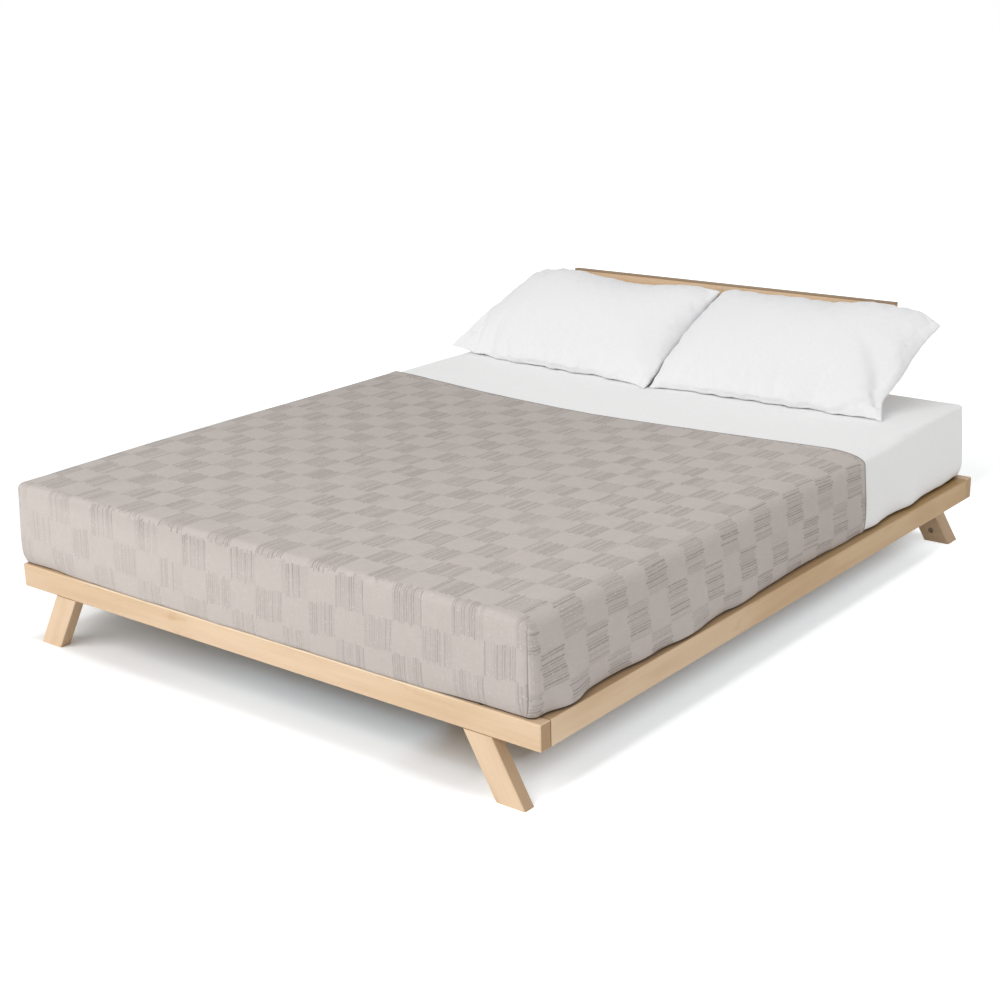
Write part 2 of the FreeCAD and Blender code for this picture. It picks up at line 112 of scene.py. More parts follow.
class BedSizes(bpy.types.PropertyGroup):
    """Sizes of the soft pieces"""

    plan_radius: length("Corner Radius", "Radius of the mattress's corners seen from above", 0.028)
    edge_radius: length("Edge Radius", "Radius of the mattress's upper edges at its ends", 0.014)
    side_soften: length("Side Softness", "Width of the rounding along the long upper edges", 0.045)
    roll_radius: length("Lower Radius", "Radius of the mattress's lower edges", 0.016)
    bulge: length("Bulge", "How far the sides belly out", 0.009)
    crown: length("Crown", "Rise of the mattress's middle above its sides", 0.003)
    mesh_step: length("Mesh Step", "Spacing of the covers' mesh", 0.012)
    sheet_out: length("Sheet Offset", "Middle of the sheet outside the mattress", 0.0011)
    sheet_thick: length("Sheet Thickness", "Thickness of the fitted sheet", 0.0009)
    sheet_under: length("Sheet Turn", "How far the sheet runs on below the mattress", 0.080)
    coverlet_out: length("Coverlet Offset", "Middle of the coverlet outside the mattress", 0.0042)
    coverlet_thick: length("Coverlet Thickness", "Thickness of the coverlet", 0.003)
    coverlet_head: length("Head Edge", "Where the coverlet ends towards the pillows at the sides", 0.378)
    coverlet_bow: length("Head Edge Bow", "How far the head edge's middle lies towards the foot", 0.072)
    hem_width: length("Hem", "Width of the coverlet's hem", 0.020)
    patch_width: length("Patch Width", "Width of one patch of the check", 0.0805)
    patch_length: length("Patch Length", "Length of one patch of the check", 0.0750)
    patch_shift_u: length("Check Shift Across", "Where the check starts across the bed", 0.132)
    patch_shift_v: length("Check Shift Along", "Where the check starts along the bed", 0.0521)
    line_pitch: length("Line Pitch", "Spacing of the lines in a hatched patch", 0.0064)
    case_width: length("Case Width", "Flat width of a pillow case", 0.790)
    case_height: length("Case Height", "Flat height of a pillow case", 0.500)


class BedStage(bpy.types.PropertyGroup):
    """Camera, floor and light"""

    azimuth: angle("Azimuth", "Camera direction round the bed", 38.9794)
    elevation: angle("Elevation", "Camera height angle", 17.5712)
    roll: angle("Roll", "Turn of the camera about its axis", -1.4567)
    eye: FloatVectorProperty(
        name="Eye", description="Place of the camera",
        default=(2.6495, -3.3864, 1.6112), subtype="TRANSLATION",
    )
    lens: level("Lens", "Focal length in millimetres", 60.785)
    floor: colour("Floor", "Pale studio floor", (0.93, 0.93, 0.93))
    floor_lift: level("Floor Lift", "Extra white that only the camera sees on the open floor", 0.26)
    fill: level("Fill", "Even light from all round", 0.56)
    key: level("Key", "Soft light from the foot of the bed, in watts", 209.0)
    side_fill: level("Side Fill", "Weak soft light from the right, in watts", 12.0)


def rgba(tint):
    """A colour with full alpha."""
    return (*tuple(tint)[:3], 1.0)


def scaled(tint, share):
    """A colour made lighter or darker."""
    return tuple(c * share for c in tint)


def arithmetic(operation, swapped=False):
    """A method of Value that does one step of arithmetic."""
    def method(self, *others):
        values = (*others, self) if swapped else (self, *others)
        return put(self.tree, "Math", dict(enumerate(values)), operation=operation)[0]
    return method


class Value:
    """An output of a shader node that takes arithmetic with numbers and other outputs."""

    __add__ = arithmetic("ADD")
    __sub__ = arithmetic("SUBTRACT")
    __rsub__ = arithmetic("SUBTRACT", swapped=True)
    __mul__ = arithmetic("MULTIPLY")
    __truediv__ = arithmetic("DIVIDE")
    __mod__ = arithmetic("FLOORED_MODULO")
    __abs__ = arithmetic("ABSOLUTE")
    floor = arithmetic("FLOOR")
    fraction = arithmetic("FRACT")
    sine = arithmetic("SINE")
    at_least = arithmetic("MAXIMUM")
    above = arithmetic("GREATER_THAN")

    def __init__(self, socket):
        self.socket = socket
        self.tree = socket.id_data

    def ramp(self, low, high, start=0.0, end=1.0, smooth=True):
        """Maps low to high onto start to end."""
        inputs = {"Value": self, "From Min": low, "From Max": high, "To Min": start, "To Max": end}
        kind = "SMOOTHSTEP" if smooth else "LINEAR"
        return put(self.tree, "MapRange", inputs, interpolation_type=kind)[0]

    def spread(self, start, end):
        """Maps 0 to 1 evenly onto start to end."""
        return self.ramp(0.0, 1.0, start, end, smooth=False)

    def vector(self, operation, *others):
        """One step of arithmetic on a vector."""
        return put(self.tree, "VectorMath", dict(enumerate((self, *others))), operation=operation)

    def axes(self):
        """The three parts of a vector."""
        parts = put(self.tree, "SeparateXYZ", {0: self})
        return [parts[k] for k in range(3)]

    def cloud(self, scale=1.0, detail=2.0, rough=0.5, stretch=None):
        """Noise over a vector, which may be stretched along its axes."""
        place = self if stretch is None else self.vector("MULTIPLY", stretch)[0]
        inputs = {"Vector": place, "Scale": scale, "Detail": detail, "Roughness": rough}
        return put(self.tree, "TexNoise", inputs)["Fac"]

    def chance(self, socket="Vector", dimensions="2D"):
        """A random value for each place or number."""
        return put(self.tree, "TexWhiteNoise", {socket: self}, noise_dimensions=dimensions)["Value"]


class Outputs:
    """The outputs of a shader node as values, by name or number."""

    def __init__(self, node):
        self.sockets = node.outputs

    def __getitem__(self, key):
        return Value(self.sockets[key])


def feed(socket, value):
    """Links a value to a socket, or sets the socket to a constant."""
    if isinstance(value, Value):
        value.tree.links.new(value.socket, socket)
    else:
        socket.default_value = rgba(value) if socket.type == "RGBA" else value


def wire(node, inputs):
    """Links or sets several inputs of a node."""
    for name, value in inputs.items():
        feed(node.inputs[name], value)


def put(tree, kind, inputs=None, **settings):
    """Adds a shader node and gives its outputs."""
    node = tree.nodes.new("ShaderNode" + kind)
    for name, value in settings.items():
        setattr(node, name, value)
    wire(node, inputs or {})
    return Outputs(node)


def pair(one, two):
    """Two values as a vector."""
    return put(one.tree, "CombineXYZ", {0: one, 1: two})[0]


def marked(tree, name):
    """A mark that the cloth's vertices carry."""
    return put(tree, "Attribute", attribute_name=name)["Fac"]


def blend(share, one, other, kind="MIX"):
    """Mixes two colours."""
    tree = next(value.tree for value in (share, one, other) if isinstance(value, Value))
    node = tree.nodes.new("ShaderNodeMix")
    node.data_type = "RGBA"
    node.blend_type = kind
    for socket, value in zip([s for s in node.inputs if s.enabled], (share, one, other)):
        feed(socket, value)
    return Value(next(s for s in node.outputs if s.enabled))


# Noise in wood: stretch along and across the grain, detail, roughness
WOOD_NOISE = {
    "drift": ((0.7, 9.0, 9.0), 3.0, 0.5),
    "streak": ((1.3, 34.0, 34.0), 4.0, 0.6),
    "fibre": ((8.0, 420.0, 420.0), 2.0, 0.5),
    "patch": ((2.6, 8.0, 8.0), 3.0, 0.5),
    "pore": ((55.0, 800.0, 800.0), 1.0, 0.5),
    "smudge": ((9.0, 24.0, 24.0), 3.0, 0.5),
    "speck": ((60.0, 900.0, 900.0), 2.0, 0.5),
}
PORE_RANGE = (0.68, 0.76)
# What darkens wood: range of the noise and the most that it adds
WOOD_TONES = {
    "streak": (0.38, 0.70, 0.26),
    "fibre": (0.30, 0.75, 0.12),
    "patch": (0.35, 0.70, 0.42),
    "pore": (*PORE_RANGE, 0.35),
    "smudge": (0.64, 0.78, 0.55),
}


def wood_grain(given):
    """Growth lines, streaks and end grain along the vector's X axis."""
    place, facing, dark, end = (given[name] for name in ("Vector", "Facing", "Dark", "End"))
    noises = {name: place.cloud(1.0, *rest, stretch) for name, (stretch, *rest) in WOOD_NOISE.items()}
    _, across, up = place.axes()
    swing = (across * 0.55 + up) * 150.0 + noises["drift"] * 60.0
    tone = swing.sine().ramp(-0.4, 1.0) * given["Figure"]
    for name, (low, high, most) in WOOD_TONES.items():
        tone = tone + noises[name].ramp(low, high, 0.0, most)
    shade = put(place.tree, "Clamp", {0: tone})[0]
    # Painted shade: faces turned to the Edge way, such as rail tops and leg sides, darken towards the End
    # tone
    on_edge = abs(facing.vector("DOT_PRODUCT", given["Edge"])["Value"]).ramp(0.80, 0.95)
    long_grain = blend(on_edge * given["Edge Depth"], blend(shade, given["Light"], dark), end)
    inputs = {"Vector": place.vector("MULTIPLY", (0.0, 1.0, 1.0))[0]}
    inputs.update({"Scale": 150.0, "Distortion": 5.0, "Detail": 2.0})
    rings = put(place.tree, "TexWave", inputs)["Fac"]
    end_tone = rings * 0.35 + noises["speck"].ramp(0.4, 0.7, 0.0, 0.5)
    is_end = abs(facing.axes()[0]).ramp(0.78, 0.92)
    return {
        "Color": blend(is_end, long_grain, blend(end_tone, end, blend(0.55, end, dark))),
        "Height": noises["fibre"] - noises["pore"].ramp(*PORE_RANGE, 0.0, 0.8),
        "Roughness": noises["patch"].ramp(0.3, 0.7, 0.40, 0.50) + is_end * 0.18,
    }


def plain_weave(given):
    """Over and under threads of a plain woven cloth, with uneven yarns."""
    runs = [axis / given["Pitch"] for axis in given["Vector"].axes()[:2]]
    over = (runs[0].floor() + runs[1].floor()) % 2.0
    humps = [abs((run * math.pi).sine()) for run in runs]
    threads = pair(*runs)
    warp, weft = (threads.cloud(1.0, 1.0, stretch=s) for s in ((0.9, 0.045, 1.0), (0.045, 0.9, 1.0)))
    return {"Height": humps[0] * over + humps[1] * (1.0 - over), "Shade": (warp + weft) * 0.5}


def hatched_check(given):
    """Checkerboard of patches hatched with thin dark floats along V."""
    place = given["Vector"]
    wander = place.cloud(9.0, 1.0)
    u, v, _ = place.vector("SUBTRACT", given["Shift"])[0].axes()
    u = u + wander.spread(-0.003, 0.003)
    v = v + wander.spread(0.003, -0.003)
    lines = u / given["Line Pitch"]
    index = lines.floor()
    ragged = v + index.chance("W", "1D").spread(-0.005, 0.005)
    row = (ragged / given["Patch Length"]).floor()
    patch = ((u / given["Patch Width"]).floor() + row) % 2.0
    weight = pair(index, row).chance()
    line = (weight.spread(0.12, 0.28) - abs(lines.fraction() - 0.5)).ramp(-0.16, 0.16)
    dash = pair(index * 3.7, v * 45.0).cloud(1.0, 1.0).ramp(0.34, 0.50, 0.62, 1.0)
    spot = place.vector("MULTIPLY", (620.0, 260.0, 1.0))[0].vector("FLOOR")[0].chance()
    pale = line * patch * weight.ramp(0.0, 0.16, 0.8, 0.0)
    return {
        "Line": line * dash * (patch * weight.ramp(0.15, 0.9, 0.2, 1.0)),
        "Patch": patch,
        "Fleck": spot.above(patch.spread(0.996, 0.975)).at_least(pale),
    }


def soft_creases(given):
    """Small creases and cloudy wear of washed cloth."""
    place = given["Vector"]
    warp = put(place.tree, "TexNoise", {"Vector": place, "Scale": 5.0, "Detail": 2.0})["Color"]
    pushed = warp.vector("MULTIPLY_ADD", (0.16, 0.16, 0.16), place)[0]
    crest = abs(pushed.cloud(14.0, 3.0, 0.55) - 0.5)
    return {"Height": crest.ramp(0.0, 0.16), "Shade": place.cloud(3.0, 3.0)}


def machined_marks(given):
    """Fine drawn marks and smudges of machined metal and moulded plastic."""
    place = given["Vector"]
    return {"Marks": place.cloud(1.0, 4.0, 0.65, given["Stretch"]), "Smudge": place.cloud(90.0, 3.0)}


# Shader groups: what fills them, and the sockets of each kind that they take and give
SHADER_GROUPS = {
    "Wood Grain": (
        wood_grain,
        {
            "Vector": ("Vector", "Facing", "Edge"),
            "Color": ("Light", "Dark", "End"),
            "Float": ("Figure", "Edge Depth"),
        },
        {"Color": ("Color",), "Float": ("Height", "Roughness")},
    ),
    "Plain Weave": (
        plain_weave,
        {"Vector": ("Vector",), "Float": ("Pitch",)},
        {"Float": ("Height", "Shade")},
    ),
    "Hatched Check": (
        hatched_check,
        {"Vector": ("Vector", "Shift"), "Float": ("Patch Width", "Patch Length", "Line Pitch")},
        {"Float": ("Line", "Patch", "Fleck")},
    ),
    "Soft Creases": (soft_creases, {"Vector": ("Vector",)}, {"Float": ("Height", "Shade")}),
    "Machined Marks": (machined_marks, {"Vector": ("Vector", "Stretch")}, {"Float": ("Marks", "Smudge")}),
}


def shared(tree, name, inputs):
    """Puts a shader group into a material with its own values; the group itself is made once."""
    if name not in bpy.data.node_groups:
        fill, *sockets = SHADER_GROUPS[name]
        group = bpy.data.node_groups.new(name, "ShaderNodeTree")
        for way, kinds in zip(("INPUT", "OUTPUT"), sockets):
            for kind, labels in kinds.items():
                for label in labels:
                    group.interface.new_socket(label, in_out=way, socket_type="NodeSocket" + kind)
        given = Outputs(group.nodes.new("NodeGroupInput"))
        wire(group.nodes.new("NodeGroupOutput"), fill(given))
    return put(tree, "Group", inputs, node_tree=bpy.data.node_groups[name])


def new_material(name, tint):
    """A material with only its shader and output, and the tint that the solid view shows."""
    material = bpy.data.materials.new(name)
    material.use_nodes = True
    material.diffuse_color = rgba(tint)
    tree = material.node_tree
    shader = next(n for n in tree.nodes if n.type == "BSDF_PRINCIPLED")
    return material, tree, shader


def bump(shader, height, distance, strength, under=None):
    """Feeds a height to the shader's normal."""
    inputs = {"Height": height, "Distance": distance, "Strength": strength}
    if under is not None:
        inputs["Normal"] = under
    normal = put(height.tree, "Bump", inputs)[0]
    feed(shader.inputs["Normal"], normal)
    return normal


def wood(name, axis, tones, figure, edge=(0, 0, 1), depth=0.0, head_shade=None, lip=None):
    """Satin wood along an axis, with painted shade on its narrow edges; it may get painted shade towards the
    head and have a band of another tone along its top.
    """
    light, dark, end = tones
    material, tree, shader = new_material(name, light)
    coords = put(tree, "TexCoord")
    turn = Vector(axis).rotation_difference(Vector((1, 0, 0))).to_euler()
    turned = []
    for source in ("Object", "Normal"):
        inputs = {"Vector": coords[source], "Rotation": turn}
        turned.append(put(tree, "VectorRotate", inputs, rotation_type="EULER_XYZ")[0])
    to_edge = Vector(edge)
    to_edge.rotate(turn)
    x, y, z = coords["Object"].axes()
    inputs = {"Vector": turned[0], "Facing": turned[1], "Light": light, "Dark": dark, "End": end}
    inputs.update({"Figure": figure, "Edge": to_edge})
    # On the side rails the painted edge shade lessens towards the head
    inputs["Edge Depth"] = y.ramp(-0.9, 0.5, depth, depth * 0.4) if head_shade else depth
    grain = shared(tree, "Wood Grain", inputs)
    finish = grain["Color"]
    # Painted shade on the side rails, darker towards the head
    if head_shade:
        finish = blend(y.ramp(-1.0, 1.0, smooth=False), finish, head_shade, "MULTIPLY")
    if lip:
        height, reach, tone = lip
        middle = abs(x).ramp(reach, reach + 0.2, 1.0, 0.0)
        finish = blend(z.ramp(height, height + 0.0015, 0.0, 0.85) * middle, finish, tone)
    wire(shader, {"Base Color": finish, "Roughness": grain["Roughness"], "Specular IOR Level": 0.22})
    bump(shader, grain["Height"], 0.0004, 0.35)
    return material


def metal(name, tint, stretch, rough, metallic):
    """Plated, coated or moulded hardware with fine marks."""
    material, tree, shader = new_material(name, tint)
    place = put(tree, "TexCoord")["Object"]
    marks = shared(tree, "Machined Marks", {"Vector": place, "Stretch": stretch})
    finish = blend(marks["Smudge"].ramp(0.35, 0.7), tint, scaled(tint, 0.72))
    gloss = marks["Marks"].ramp(0.3, 0.7, rough - 0.08, rough + 0.1)
    wire(shader, {"Base Color": finish, "Roughness": gloss, "Metallic": metallic})
    bump(shader, marks["Marks"], 0.0002, 0.4)
    return material


def cotton(name, tint, pitch, crease, sheen):
    """Woven cotton with faint creases, and nearly black painted shade where the gap below its edge is
    marked.
    """
    material, tree, shader = new_material(name, tint)
    weave = shared(tree, "Plain Weave", {"Vector": put(tree, "UVMap", uv_map="flat")[0], "Pitch": pitch})
    folds = shared(tree, "Soft Creases", {"Vector": put(tree, "TexCoord")["Object"]})
    finish = blend(weave["Shade"].ramp(0.35, 0.65), scaled(tint, 0.93), tint)
    finish = blend(folds["Shade"].ramp(0.35, 0.7, 0.0, 0.35), finish, scaled(tint, 0.965))
    # Painted shade in the gap below the lower edge
    finish = blend(marked(tree, "gap").ramp(0.3, 1.0), finish, scaled(tint, 0.035))
    wire(shader, {"Base Color": finish, "Roughness": weave["Shade"].ramp(0.3, 0.7, 0.88, 0.96)})
    wire(shader, {"Specular IOR Level": 0.2, "Sheen Weight": sheen, "Sheen Roughness": 0.5})
    soft = bump(shader, folds["Height"], 0.004, crease)
    bump(shader, weave["Height"], 0.0002, 0.25, soft)
    return material


# Where the coverlet's flat cut turns over the foot edge and the right edge
FOOT_TURN = (-1.05, -0.99)
RIGHT_TURN = (0.78, 0.83)


def coverlet_cloth(looks, sizes):
    """Taupe cloth with a check of hatched patches, and painted light and shade that make each panel a little
    lighter or darker.
    """
    material, tree, shader = new_material("coverlet_weave", looks.coverlet)
    flat = put(tree, "UVMap", uv_map="flat")[0]
    u, v, _ = flat.axes()
    weave = shared(tree, "Plain Weave", {"Vector": flat, "Pitch": 0.0013})
    inputs = {"Vector": flat, "Patch Width": sizes.patch_width, "Patch Length": sizes.patch_length}
    inputs["Line Pitch"] = sizes.line_pitch
    inputs["Shift"] = (sizes.patch_shift_u, sizes.patch_shift_v, 0.0)
    check = shared(tree, "Hatched Check", inputs)
    # Painted light: the check is painted fainter on the foot, most at its left, and stronger on the top, for
    # how light falls on its floats
    depth = v.ramp(*FOOT_TURN, u.ramp(-0.7, 0.75, 0.45, 0.72), 1.12)
    layers = (
        (flat.cloud(16.0, 3.0).ramp(0.35, 0.7, 0.0, 0.5), looks.coverlet_cool),
        (check["Patch"] * 0.14 * depth, looks.coverlet_line_and_shade),
        (check["Line"] * 0.68 * depth, looks.coverlet_line_and_shade),
        (check["Fleck"] * 0.35, looks.coverlet_fleck),
        # Painted shade in the groove of the corner seams
        (marked(tree, "seam") * 0.7, looks.coverlet_line_and_shade),
        # Painted shade in the gap below the lower edge and along the head edge
        (marked(tree, "gap").ramp(0.3, 1.0), scaled(looks.coverlet_line_and_shade, 0.12)),
    )
    ground = (scaled(looks.coverlet, share) for share in (0.93, 1.05))
    finish = blend(weave["Shade"].ramp(0.32, 0.68), *ground)
    for share, tint in layers:
        finish = blend(share, finish, tint)
    # Painted light and shade: the top darker to its left and towards the head, the foot lighter at its left,
    # the side darker towards the head
    top = u.ramp(-0.3, 0.65, v.ramp(-1.0, 0.45, 0.95, 0.87), 0.98)
    foot = u.ramp(-0.75, 0.7, 1.06, 0.955)
    side = v.ramp(-0.6, 0.45, 1.0, 0.92)
    painted_panel_light = u.ramp(*RIGHT_TURN, v.ramp(*FOOT_TURN, foot, top), side)
    rough = check["Line"].ramp(0.0, 1.0, 0.95, 0.85)
    wire(shader, {"Base Color": blend(1.0, finish, painted_panel_light, "MULTIPLY"), "Roughness": rough})
    wire(shader, {"Specular IOR Level": 0.15, "Sheen Weight": 0.08, "Sheen Roughness": 0.6})
    bump(shader, weave["Height"] * 0.5 + check["Line"], 0.0005, 0.25)
    return material


def dress(names, material):
    """Gives CAD nodes their finish."""
    for name in names:
        slots = NODES[name].data.materials
        slots.clear()
        slots.append(material)


def new_object(name, data):
    """A new object in the scene."""
    made = bpy.data.objects.new(name, data)
    bpy.context.scene.collection.objects.link(made)
    return made


def new_mesh(name, bm):
    """The mesh of a finished edit mesh."""
    mesh = bpy.data.meshes.new(name)
    bm.to_mesh(mesh)
    bm.free()
    return mesh


def add_piece(name, mesh, material, body):
    """Links a finished mesh as a piece that rides on a body."""
    piece = new_object(name, mesh)
    mesh.materials.clear()
    mesh.materials.append(material)
    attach(piece, body)
    return piece


def smooth_step(low, high, value):
    """Smooth rise from 0 at low to 1 at high."""
    share = min(1.0, max(0.0, (value - low) / (high - low)))
    return share * share * (3 - 2 * share)


def hump(value, middle, width):
    """A smooth rise to 1 around a middle."""
    return math.exp(-((value - middle) / width) ** 2)


def humps(waves, value):
    """The sum of humps, each with its height, middle and width."""
    return sum(height * hump(value, middle, width) for height, middle, width in waves)


def wrinkle(point, scale, seed):
    """A smooth random value from -1 to 1."""
    return noise.noise(Vector(point) * scale + Vector((seed, seed * 0.7, seed * 1.3)))


def even(low, high, step):
    """Even places from low to high, about a step apart."""
    count = max(1, round(abs(high - low) / step))
    return [low + (high - low) * k / count for k in range(count + 1)]


def vector_gap(one, two):
    """The distance between two vectors."""
    return (two - one).length


def run_lengths(points, gap=vector_gap):
    """The length of a line up to each of its points."""
    runs = [0.0]
    for one, two in zip(points, points[1:]):
        runs.append(runs[-1] + gap(one, two))
    return runs


def drawn_in(base, way):
    """How far the lower edge is drawn in: by the corners at the ends, only by the head at the sides."""
    at_ends = smooth_step(0.42, 0.76, abs(base[0])) * abs(way[1])
    by_head = 0.6 if base[1] > 0 else 1.0
    return by_head * max(at_ends, smooth_step(0.84, 0.96, base[1]) * abs(way[0]))


def left_rise(x, y):
    """How much higher the mattress stands along its left edge, short of the foot."""
    return 0.006 * smooth_step(-0.3, -0.75, x) * smooth_step(-1.0, -0.5, y)


class BoxedCover:
    """A cloth cover laid over the mattress, panel by panel, with its flat cut as UVs."""

    # Shares of a corner's quarter turn, up to the seam in its middle
    turns = (0.12, 0.24, 0.34, 0.42, 0.465, 0.488, 0.5)
    # Steps over the rim, down the wall and round the lower edge, and spacing below
    rim_steps, wall_steps, roll_steps, under_step = 8, 14, 6, 0.02
    # Right edge: where it turns crisp, the hump that widens its rounding, and depth of the rounding
    crisp_range, widening, round_depth = (0.42, 0.80), (1.6, 0.45, 0.2), 0.55
    # How far and how high above the bottom the lower edge is drawn in
    draw_depth, draw_range = 0.010, (0.032, 0.004)
    # Distances of the first lines of mesh from the rim
    near_rim = (0.0, 0.004, 0.009, 0.016)
    # Lines of mesh in the hem: hem widths from the head edge, and how far the hem has risen
    hem_lines = ((1.14, 0.0), (1.0, 0.6), (0.86, 1.0), (0.5, 1.0), (0.15, 1.0), (0.0, 1.0))

    def __init__(self, sizes, corner, edge, roll, flare=None, slack=None, shade=None, dark_from=3):
        self.mesh = bmesh.new()
        self.round, self.edge, self.roll = corner, edge, roll
        self.flare = flare or (lambda base, way: 0.0)
        self.slack = slack or (lambda base, way: 1.0)
        self.shade = shade or (lambda base, way: 1.0)
        self.dark_from = dark_from
        self.flat = self.mesh.loops.layers.uv.new("flat")
        layers = self.mesh.verts.layers.float
        self.marks = {name: layers.new(name) for name in ("seam", "hem", "low", "gap")}
        self.known = {}
        self.sizes = sizes
        self.x0, self.y0, self.z0 = MATTRESS_LOW
        self.x1, self.y1, self.z1 = MATTRESS_HIGH
        self.z1 -= sizes.crown

    def crown(self, x, y):
        """Rise of the top at this place of the bed."""
        share = (x - MATTRESS_MIDDLE) / MATTRESS_HALF
        return self.sizes.crown * max(0.0, 1 - share * share) + left_rise(x, y)

    def fall(self, inset, x, y, at_end):
        """How far the top has curved down at this distance inside the outline."""
        crisp = 1.0 if at_end or x < MATTRESS_MIDDLE else smooth_step(*self.crisp_range, y)
        soft = self.sizes.side_soften * (1 + humps([self.widening], y))
        deep = self.sizes.side_soften * self.round_depth
        wide = soft + (self.edge - soft) * crisp
        deep += (self.edge - deep) * crisp
        share = max(0.0, 1 - inset / wide)
        return deep * (1 - math.sqrt(max(0.0, 1 - share * share)))

    def low_share(self, z):
        """How near a height lies to the lower edge."""
        return smooth_step(self.z0 + 0.09, self.z0 + 0.01, z)

    def vert(self, point, **marks):
        """The vertex at a point, made once."""
        key = tuple(round(c * 20000) for c in point)
        if key not in self.known:
            made = self.mesh.verts.new(point)
            for name, value in marks.items():
                made[self.marks[name]] = value
            self.known[key] = made
        return self.known[key]

    def face(self, corners):
        """A face from vertices with their places in the flat cut, left out where it has no width."""
        places = {}
        for vert, place in corners:
            places.setdefault(vert, place)
        if len(places) < 3:
            return
        made = self.mesh.faces.new(list(places))
        made.smooth = True
        for loop, place in zip(made.loops, places.values()):
            loop[self.flat].uv = place

    def top_point(self, x, y):
        """A point on the upper side, inside the rounded corners."""
        inset = min(x - self.x0, self.x1 - x)
        return (x, y, self.z1 + self.crown(x, y) - self.fall(inset, x, y, False))

    def rows(self, tuck, under=0.0):
        """Steps down the side: share of the way over the rim, down the wall, round below, and under."""
        quarter = math.pi / 2
        steps = [("rim", 1 - math.sin(quarter * k / self.rim_steps)) for k in range(self.rim_steps + 1)]
        steps += [("wall", k / self.wall_steps) for k in range(1, self.wall_steps + 1)]
        steps += [("roll", tuck * k / self.roll_steps) for k in range(1, self.roll_steps + 1)]
        count = max(1, round(under / self.under_step)) if under else 0
        return steps + [("under", under * k / count) for k in range(1, count + 1)]

    def side_point(self, base, way, step):
        """A point of the side, from its station round the bed and its step down."""
        kind, amount = step
        roll = self.roll
        end_share = way[1] * way[1]
        x, y = base
        inset = self.round * amount if kind == "rim" else 0.0
        corner = self.fall(min(x - self.x0, self.x1 - x), x, y, False)
        drop = (1 - end_share) * self.fall(inset, x, y, False)
        drop += end_share * (self.fall(inset, x, y, True) + corner)
        reach = self.round - inset
        z = self.z1 + self.crown(x, y) - drop
        low = self.z0 + roll
        if kind == "wall":
            z += (low - z) * amount
        elif kind == "roll":
            amount *= self.slack(base, way)
            reach += roll * (math.cos(amount) - 1)
            z = low - roll * math.sin(amount)
        elif kind == "under":
            reach -= roll + amount
            z = self.z0
        share = min(1.0, max(0.0, (z - self.z0) / (self.z1 - self.z0)))
        if kind != "under":
            belly = self.sizes.bulge * (1 - 0.5 * end_share) * math.sin(math.pi * math.sqrt(share))
            reach += belly * (1 - amount if kind == "rim" else 1.0)
            reach += self.flare(base, way) * smooth_step(self.z0 + 0.10, self.z0 + 0.010, z)
            drawn = self.draw_depth * drawn_in(base, way)
            reach -= drawn * smooth_step(*(self.z0 + height for height in self.draw_range), z)
        return (x + way[0] * reach, y + way[1] * reach, z)

    def lay(self, steps, head_line=None):
        """Lays the top and hangs the sides; a cover with no head line is closed round the head."""
        closed = head_line is None
        near, step = self.near_rim, self.sizes.mesh_step
        left, right = self.x0 + self.round, self.x1 - self.round
        start, stop = self.y0 + self.round, self.y1 - self.round
        xs = [left + n for n in near[:-1]] + even(left + near[-1], right - near[-1], step)
        xs += [right - n for n in near[-2::-1]]
        if closed:
            lines = [even(start, stop, step)] * len(xs)
            hems = [0.0] * len(lines[0])
        else:
            hem = self.sizes.hem_width
            count = round((head_line(self.x1) - start) / step)
            lines = []
            for head in map(head_line, xs):
                ys = [start + (head - hem * 1.5 - start) * k / count for k in range(count + 1)]
                lines.append(ys + [head - hem * share for share, _ in self.hem_lines])
            hems = [0.0] * (count + 1) + [risen for _, risen in self.hem_lines]
        for i in range(len(xs) - 1):
            for j in range(len(hems) - 1):
                corners = []
                for a, b in ((i, j), (i + 1, j), (i + 1, j + 1), (i, j + 1)):
                    x, y = xs[a], lines[a][b]
                    vert = self.vert(self.top_point(x, y), hem=hems[b])
                    corners.append((vert, (x - MATTRESS_MIDDLE, y)))
                self.face(corners)
        ends = [(-1, start)] + ([(1, stop)] if closed else [])
        for way, base_x, line in ((1, right, lines[-1]), (-1, left, lines[0])):
            stations = [((base_x, y), (way, 0), y, 0.0, hem) for y, hem in zip(line, hems)]
            for way_y, base_y in ends:
                part = self.corner_stations(base_x, base_y, way, way_y, True)
                stations = part[::-1] + stations if way_y < 0 else stations + part
            side_runs = self.hang_panel(steps, stations, "side", way)
        for way_y, base_y in ends:
            stations = self.corner_stations(left, base_y, -1, way_y, False)[::-1]
            stations += [((x, base_y), (0, way_y), x, 0.0, 0.0) for x in xs]
            stations += self.corner_stations(right, base_y, 1, way_y, False)
            end_runs = self.hang_panel(steps, stations, "end", way_y)
        return side_runs[-1], end_runs[-1]

    def corner_stations(self, base_x, base_y, way_x, way_y, on_side):
        """Half of a corner's turn, up to the seam in its middle, as part of a side or an end panel."""
        made = []
        for share in self.turns:
            turn = math.pi / 2 * share
            near, far = math.cos(turn), math.sin(turn)
            way = (near * way_x, far * way_y) if on_side else (far * way_x, near * way_y)
            run = base_y + way_y * self.round * turn if on_side else base_x + way_x * self.round * turn
            made.append(((base_x, base_y), way, run, smooth_step(0.46, 0.5, share), 0.0))
        return made

